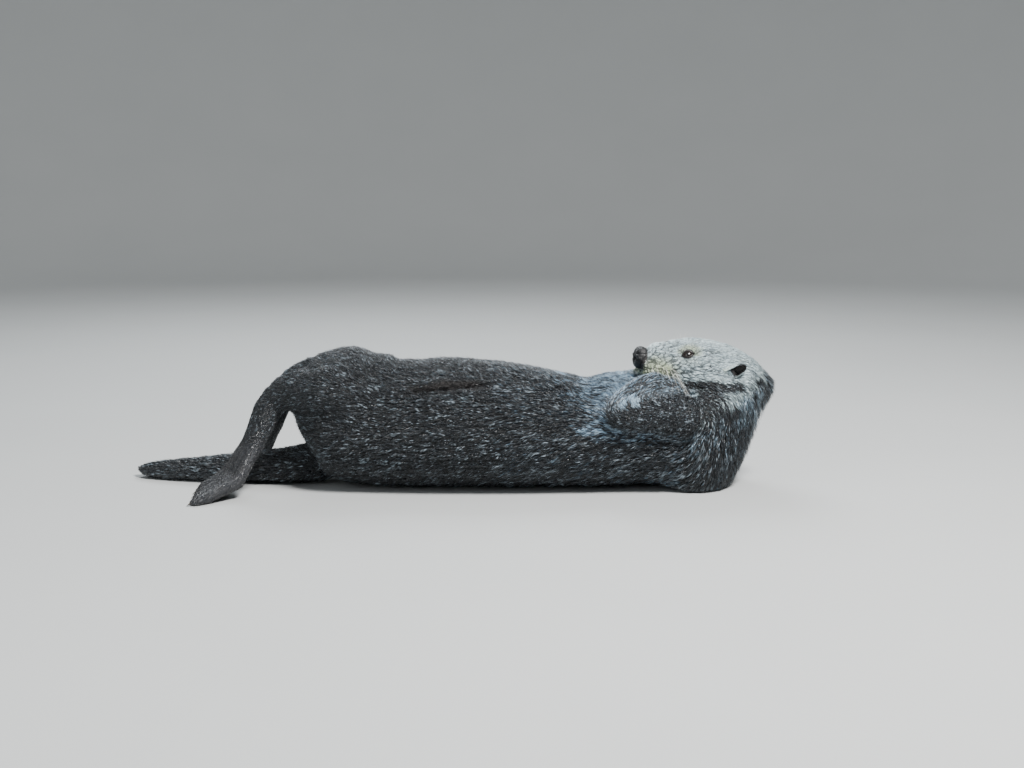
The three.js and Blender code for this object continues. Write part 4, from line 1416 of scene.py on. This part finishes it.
def nose_mesh():
    """A rounded pad, flatter in front, pressed in at the nostrils and down the middle."""
    tilt = np.linspace(0, math.pi, NOSE_STEPS + 1)[1:-1]
    turn = np.arange(NOSE_AROUND) * 2 * math.pi / NOSE_AROUND
    tilt, turn = np.meshgrid(tilt, turn, indexing="ij")
    aim = np.stack([np.cos(tilt), np.sin(tilt) * np.cos(turn), np.sin(tilt) * np.sin(turn)], -1)
    aim = np.concatenate([aim.reshape(-1, 3), [[1, 0, 0], [-1, 0, 0]]])
    boxy = (np.abs(aim) ** 2.5).sum(1) ** (-1 / 2.5)
    at = aim * boxy[:, None] * NOSE_HALF / MM
    x, y, z = at.T
    y = y * (1 - 0.16 * ramp(z, -2, -13))
    side_y = np.abs(y)
    x = x - 1.8 * bump(y, 7) * bump(z - 13, 5) * (x > -4)
    z = z + 0.9 * bump(side_y - 7.5, 4) * ramp(z, 4, 12) - 1.3 * bump(y, 3.2) * ramp(z, 6, 13)
    at = np.stack([x, side_y, z], 1)
    line = NOSTRIL_OUTER - NOSTRIL_INNER
    t = np.clip((at - NOSTRIL_INNER) @ line / (line @ line), 0, 1)
    curl = NOSTRIL_INNER + t[:, None] * line + np.array([0, 0, 1.9]) * (np.sin(t * math.pi))[:, None]
    gap = np.linalg.norm(at - curl, axis=1)
    opening = bump(gap, 2.1 - 0.6 * t)
    wing = bump(gap - 4.4, 1.7) * ramp(z, -7, 2)
    groove = bump(y, 0.9) * ramp(z, 3.5, -2) * (x > 0)
    fold = bump(z - 3.6 - 0.22 * side_y, 1.0) * ramp(side_y, 6, 10) * (x > -4)
    inward = -5.4 * opening + 0.9 * wing - 1.5 * groove - 0.7 * fold
    at = np.stack([x, y, z], 1)
    at = at + aim * inward[:, None]
    mesh = bpy.data.meshes.new("nose_pad")
    faces = []
    for row in range(NOSE_STEPS - 2):
        a = row * NOSE_AROUND
        for i in range(NOSE_AROUND):
            j = (i + 1) % NOSE_AROUND
            faces.append((a + i, a + NOSE_AROUND + i, a + NOSE_AROUND + j, a + j))
    last = (NOSE_STEPS - 2) * NOSE_AROUND
    tip, heel = len(at) - 2, len(at) - 1
    faces += [(tip, i, (i + 1) % NOSE_AROUND) for i in range(NOSE_AROUND)]
    faces += [(heel, last + (i + 1) % NOSE_AROUND, last + i) for i in range(NOSE_AROUND)]
    places = from_head(at * MM + NOSE_CENTRE)
    mesh.from_pydata(places.tolist(), [], faces)
    return mesh


finished("nose_pad", nose_mesh(), "nose_leather", NOSE_SKIN, "nose")

# ---- Whiskers --------------------------------------------------------------------------------------
# Stiff pale hairs that taper and droop, in rows on the two pads of the upper lip, with a few over
# each eye. Each grows from a point on the hide.

WHISKER_ROWS, WHISKER_COLUMNS, BROW_WHISKERS = 5, 6, 4
COLUMN_STEP, ROW_STEP = 5.2, 3.9  # in millimetres
WHISKER_RADIUS, WHISKER_DROOP = 0.00022, 0.40
FACE_TREE = surface_tree(hide)


def whisker_roots():
    """Places on the hide with the way each whisker points and its length."""
    rng = np.random.default_rng(77)
    roots = []
    for side in (1, -1):
        for row in range(WHISKER_ROWS):
            for column in range(WHISKER_COLUMNS - (row in (0, WHISKER_ROWS - 1))):
                at = np.array([108 - COLUMN_STEP * column - 0.8 * row, side * 40, 6.5 - ROW_STEP * row])
                at[2] += 0.5 * column
                aim = np.array([0.34 - 0.17 * column, side * (0.62 + 0.06 * column), -0.34 - 0.09 * row])
                reach = 16 + 5.0 * column + 2.5 * row + rng.uniform(-5, 5)
                roots.append((at, aim + rng.normal(0, 0.08, 3), reach))
        for brow in range(BROW_WHISKERS):
            at = np.array([66 - 4 * brow, side * 60, 39 + brow])
            roots.append((at, np.array([-0.3, side * 0.55, 0.75]) + rng.normal(0, 0.1, 3), 20 + 4 * brow))
    return roots


def whisker_points():
    places, aims, reaches = [], [], []
    for at, aim, reach in whisker_roots():
        start = from_head(at * MM)
        inwards = Vector(from_head(np.array([at[0], 0, at[2] * 0.8]) * MM) - start).normalized()
        hit, facing, *_ = FACE_TREE.ray_cast(Vector(start), inwards)
        places.append(np.array(hit) - np.array(facing) * 0.6 * MM)
        aims.append(unit(aim @ HEAD_AXES + 0.35 * np.array(facing)))
        reaches.append(reach * MM)
    mesh = bpy.data.meshes.new("whisker_roots")
    mesh.from_pydata([p.tolist() for p in places], [], [])
    aim_of = mesh.attributes.new("aim", "FLOAT_VECTOR", "POINT")
    aim_of.data.foreach_set("vector", np.array(aims, np.float32).ravel())
    reach_of = mesh.attributes.new("reach", "FLOAT", "POINT")
    reach_of.data.foreach_set("value", np.array(reaches, np.float32))
    return mesh


def whisker_tree(material):
    tree = bpy.data.node_groups.new("Whiskers", "GeometryNodeTree")
    tree.interface.new_socket("Roots", in_out="INPUT", socket_type="NodeSocketGeometry")
    for name in ("Thickness", "Droop"):
        tree.interface.new_socket(name, in_out="INPUT", socket_type="NodeSocketFloat")
    tree.interface.new_socket("Whiskers", in_out="OUTPUT", socket_type="NodeSocketGeometry")
    given, out = tree.nodes.new("NodeGroupInput"), tree.nodes.new("NodeGroupOutput")
    aim = place(tree, "GeometryNodeInputNamedAttribute", {"Name": "aim"}, data_type="FLOAT_VECTOR")
    reach = place(tree, "GeometryNodeInputNamedAttribute", {"Name": "reach"}, data_type="FLOAT")
    hair = place(tree, "GeometryNodeCurvePrimitiveLine", {"End": (0, 0, 1)})
    hair = place(tree, "GeometryNodeResampleCurve", {"Curve": hair.outputs[0], "Count": 12})
    turn = place(tree, "FunctionNodeAlignRotationToVector", {"Vector": aim.outputs[0]}, axis="Z")
    spread_out = place(tree, "GeometryNodeInstanceOnPoints", {
        "Points": given.outputs["Roots"], "Instance": hair.outputs[0],
        "Rotation": turn.outputs[0], "Scale": reach.outputs[0],
    })
    real = place(tree, "GeometryNodeRealizeInstances", {"Geometry": spread_out.outputs[0]})
    factor = place(tree, "GeometryNodeSplineParameter").outputs["Factor"]
    square = reckoned(tree, "MULTIPLY", factor, factor)
    droop = reckoned(tree, "MULTIPLY", reach.outputs[0], given.outputs["Droop"])
    fall = reckoned(tree, "MULTIPLY", square, droop)
    fall = place(tree, "ShaderNodeCombineXYZ", {"Z": reckoned(tree, "MULTIPLY", fall, -1.0)})
    bent = place(tree, "GeometryNodeSetPosition", {"Geometry": real.outputs[0], "Offset": fall.outputs[0]})
    taper = place(tree, "ShaderNodeMapRange", {"Value": factor, "To Min": 1.0, "To Max": 0.18})
    radius = reckoned(tree, "MULTIPLY", taper.outputs[0], given.outputs["Thickness"])
    ring = place(tree, "GeometryNodeCurvePrimitiveCircle", {"Resolution": 6, "Radius": 1.0})
    tube = place(tree, "GeometryNodeCurveToMesh", {
        "Curve": bent.outputs[0], "Profile Curve": ring.outputs[0], "Scale": radius, "Fill Caps": True,
    })
    painted = place(tree, "GeometryNodeSetMaterial", {"Geometry": tube.outputs[0], "Material": material})
    tree.links.new(painted.outputs[0], out.inputs[0])
    return tree


def grown(mesh, tree, settings, name):
    """The result of a tree of geometry nodes on a mesh, as a plain mesh."""
    seed_object = in_scene(name + "_roots", mesh)
    modifier = seed_object.modifiers.new(name, "NODES")
    modifier.node_group = tree
    for item in tree.interface.items_tree:
        if item.name in settings:
            modifier[item.identifier] = settings[item.name]
    result = evaluated(seed_object)
    result.name = name
    return result


WHISKER = mottled_material("whisker", 120.0, 2.0, ((0.42, 0.41, 0.36), (0.74, 0.74, 0.70)), (0.28, 0.45))[0]
WHISKER_SIZES = {"Thickness": WHISKER_RADIUS, "Droop": WHISKER_DROOP}
whiskers = grown(whisker_points(), whisker_tree(WHISKER), WHISKER_SIZES, "whiskers")
finished("whiskers", whiskers, "pale_coat", WHISKER)

# ---- Claws -----------------------------------------------------------------------------------------
# Short horn claws, curved and blunt, one at the end of every toe of the paws and the flippers. Each
# grows out of the fur where the toe in the solid ends.

CLAW_STEPS, CLAW_AROUND = 8, 10


def claw(shape, base, ahead, down, size):
    """A curved cone of round outlines that ends in a blunt point."""
    side = unit(np.cross(ahead, down))
    turns = np.arange(CLAW_AROUND) * 2 * math.pi / CLAW_AROUND
    rings = []
    for step in range(CLAW_STEPS):
        t = step / (CLAW_STEPS - 1)
        bend = 0.85 * t
        heart = base + (ahead * math.sin(bend) + down * (1 - math.cos(bend))) * size / 0.85
        lift = unit(ahead * math.sin(bend) * -1 + down * -math.cos(bend))
        radius = 0.27 * size * math.sqrt(max(1 - t**1.8, 0.012))
        rings.append([heart + radius * (side * 0.72 * math.cos(a) + lift * math.sin(a)) for a in turns])
    closed_loft(shape, rings)


def horn_material():
    colours = (0.020, 0.015, 0.012), (0.085, 0.066, 0.050)
    material, tree, shader, mottle = mottled_material("claw_horn", 420.0, 3.0, colours, (0.24, 0.42))
    roughened(tree, shader, mottle, 0.3, 0.0003)
    return material


claws = bmesh.new()
for name, (ends, forward) in toe_tips.items():
    size = FEET[kind_of(name)][3]
    level = unit(forward + np.array([0, 0, 0.12])) if name.startswith("flipper") else forward
    for end in ends:
        on_hide = np.array(FACE_TREE.find_nearest(Vector(end))[0])
        base = on_hide - level * 2.6 * MM
        base[2] = max(base[2], 4.2 * MM)
        claw(claws, base, level, unit(np.array([0, 0, -1.0]) + forward * 0.27), size)
for vertex in claws.verts:
    vertex.co.z = max(vertex.co.z, 0.3 * MM)
finished("claws", as_mesh(claws, "claws"), "foot_skin", horn_material())

# ---- Floor, light and camera -----------------------------------------------------------------------
# A plain pale floor that curves up all round, soft light from above and in front, and a camera low
# at the animal's left side.

FLOOR_FLAT, FLOOR_WIDE, FLOOR_RISE = 3.4, 6.0, 4.5
FLOOR_AROUND, FLOOR_STEPS = 96, 24


def floor_mesh():
    places, faces = [(0.0, 0.0, 0.0)], []
    profile = [(FLOOR_FLAT, 0.0)]
    for step in range(1, FLOOR_STEPS + 1):
        angle = math.pi / 2 * step / FLOOR_STEPS
        reach = FLOOR_FLAT + (FLOOR_WIDE - FLOOR_FLAT) * math.sin(angle)
        profile.append((reach, FLOOR_RISE * (1 - math.cos(angle))))
    for reach, height in profile:
        for turn in range(FLOOR_AROUND):
            angle = 2 * math.pi * turn / FLOOR_AROUND
            places.append((reach * math.cos(angle), reach * math.sin(angle), height))
    for i in range(FLOOR_AROUND):
        j = (i + 1) % FLOOR_AROUND
        faces.append((0, 1 + i, 1 + j))
        for row in range(FLOOR_STEPS):
            a, b = 1 + row * FLOOR_AROUND, 1 + (row + 1) * FLOOR_AROUND
            faces.append((a + i, b + i, b + j, a + j))
    mesh = bpy.data.meshes.new("floor")
    mesh.from_pydata(places, [], faces)
    return mesh


floor_grey = (0.42, 0.43, 0.43), (0.45, 0.46, 0.46)
pale_floor = mottled_material("pale_floor", 3.0, 4.0, floor_grey, (0.85, 0.86))[0]
floor = smooth_object("floor", floor_mesh(), pale_floor)

low, high = Vector(solid_box[0]), Vector(solid_box[1])


def lit(name, place_of, power, size, colour, target):
    light = bpy.data.lights.new(name, "AREA")
    light.energy, light.size, light.color = power, size, colour
    lamp = in_scene(name, light)
    lamp.location = place_of
    lamp.rotation_euler = (Vector(target) - Vector(place_of)).to_track_quat("-Z", "Y").to_euler()


lit("key", (0.8, -1.2, 2.1), 150, 0.6, (1.0, 0.99, 0.97), (0.1, 0, 0.1))
lit("fill", (-1.7, -1.6, 1.0), 12, 1.4, (0.93, 0.97, 1.0), (-0.1, 0, 0.1))
lit("back", (-0.3, 1.6, 1.8), 42, 1.2, (0.92, 0.97, 1.0), (0, 0, 0.1))

world = bpy.data.worlds.new("studio")
world.use_nodes = True
world.node_tree.nodes["Background"].inputs["Color"].default_value = (0.88, 0.93, 0.96, 1)
world.node_tree.nodes["Background"].inputs["Strength"].default_value = 0.55
bpy.context.scene.world = world

LENS, SENSOR = 49.22, 36.0
CAMERA_LIFT = math.radians(9)
CAMERA_REACH = 1.89
LOOK_UP = 0.677  # the height of the view's middle, as a share of the animal's
look_at = Vector((0.0, 0.0, LOOK_UP * (high - low).z))
view = bpy.data.cameras.new("view")
view.lens, view.sensor_width = LENS, SENSOR
camera = in_scene("camera", view)
camera.location = look_at + CAMERA_REACH * Vector((0, -math.cos(CAMERA_LIFT), math.sin(CAMERA_LIFT)))
camera.rotation_euler = (look_at - camera.location).to_track_quat("-Z", "Y").to_euler()
bpy.context.scene.camera = camera
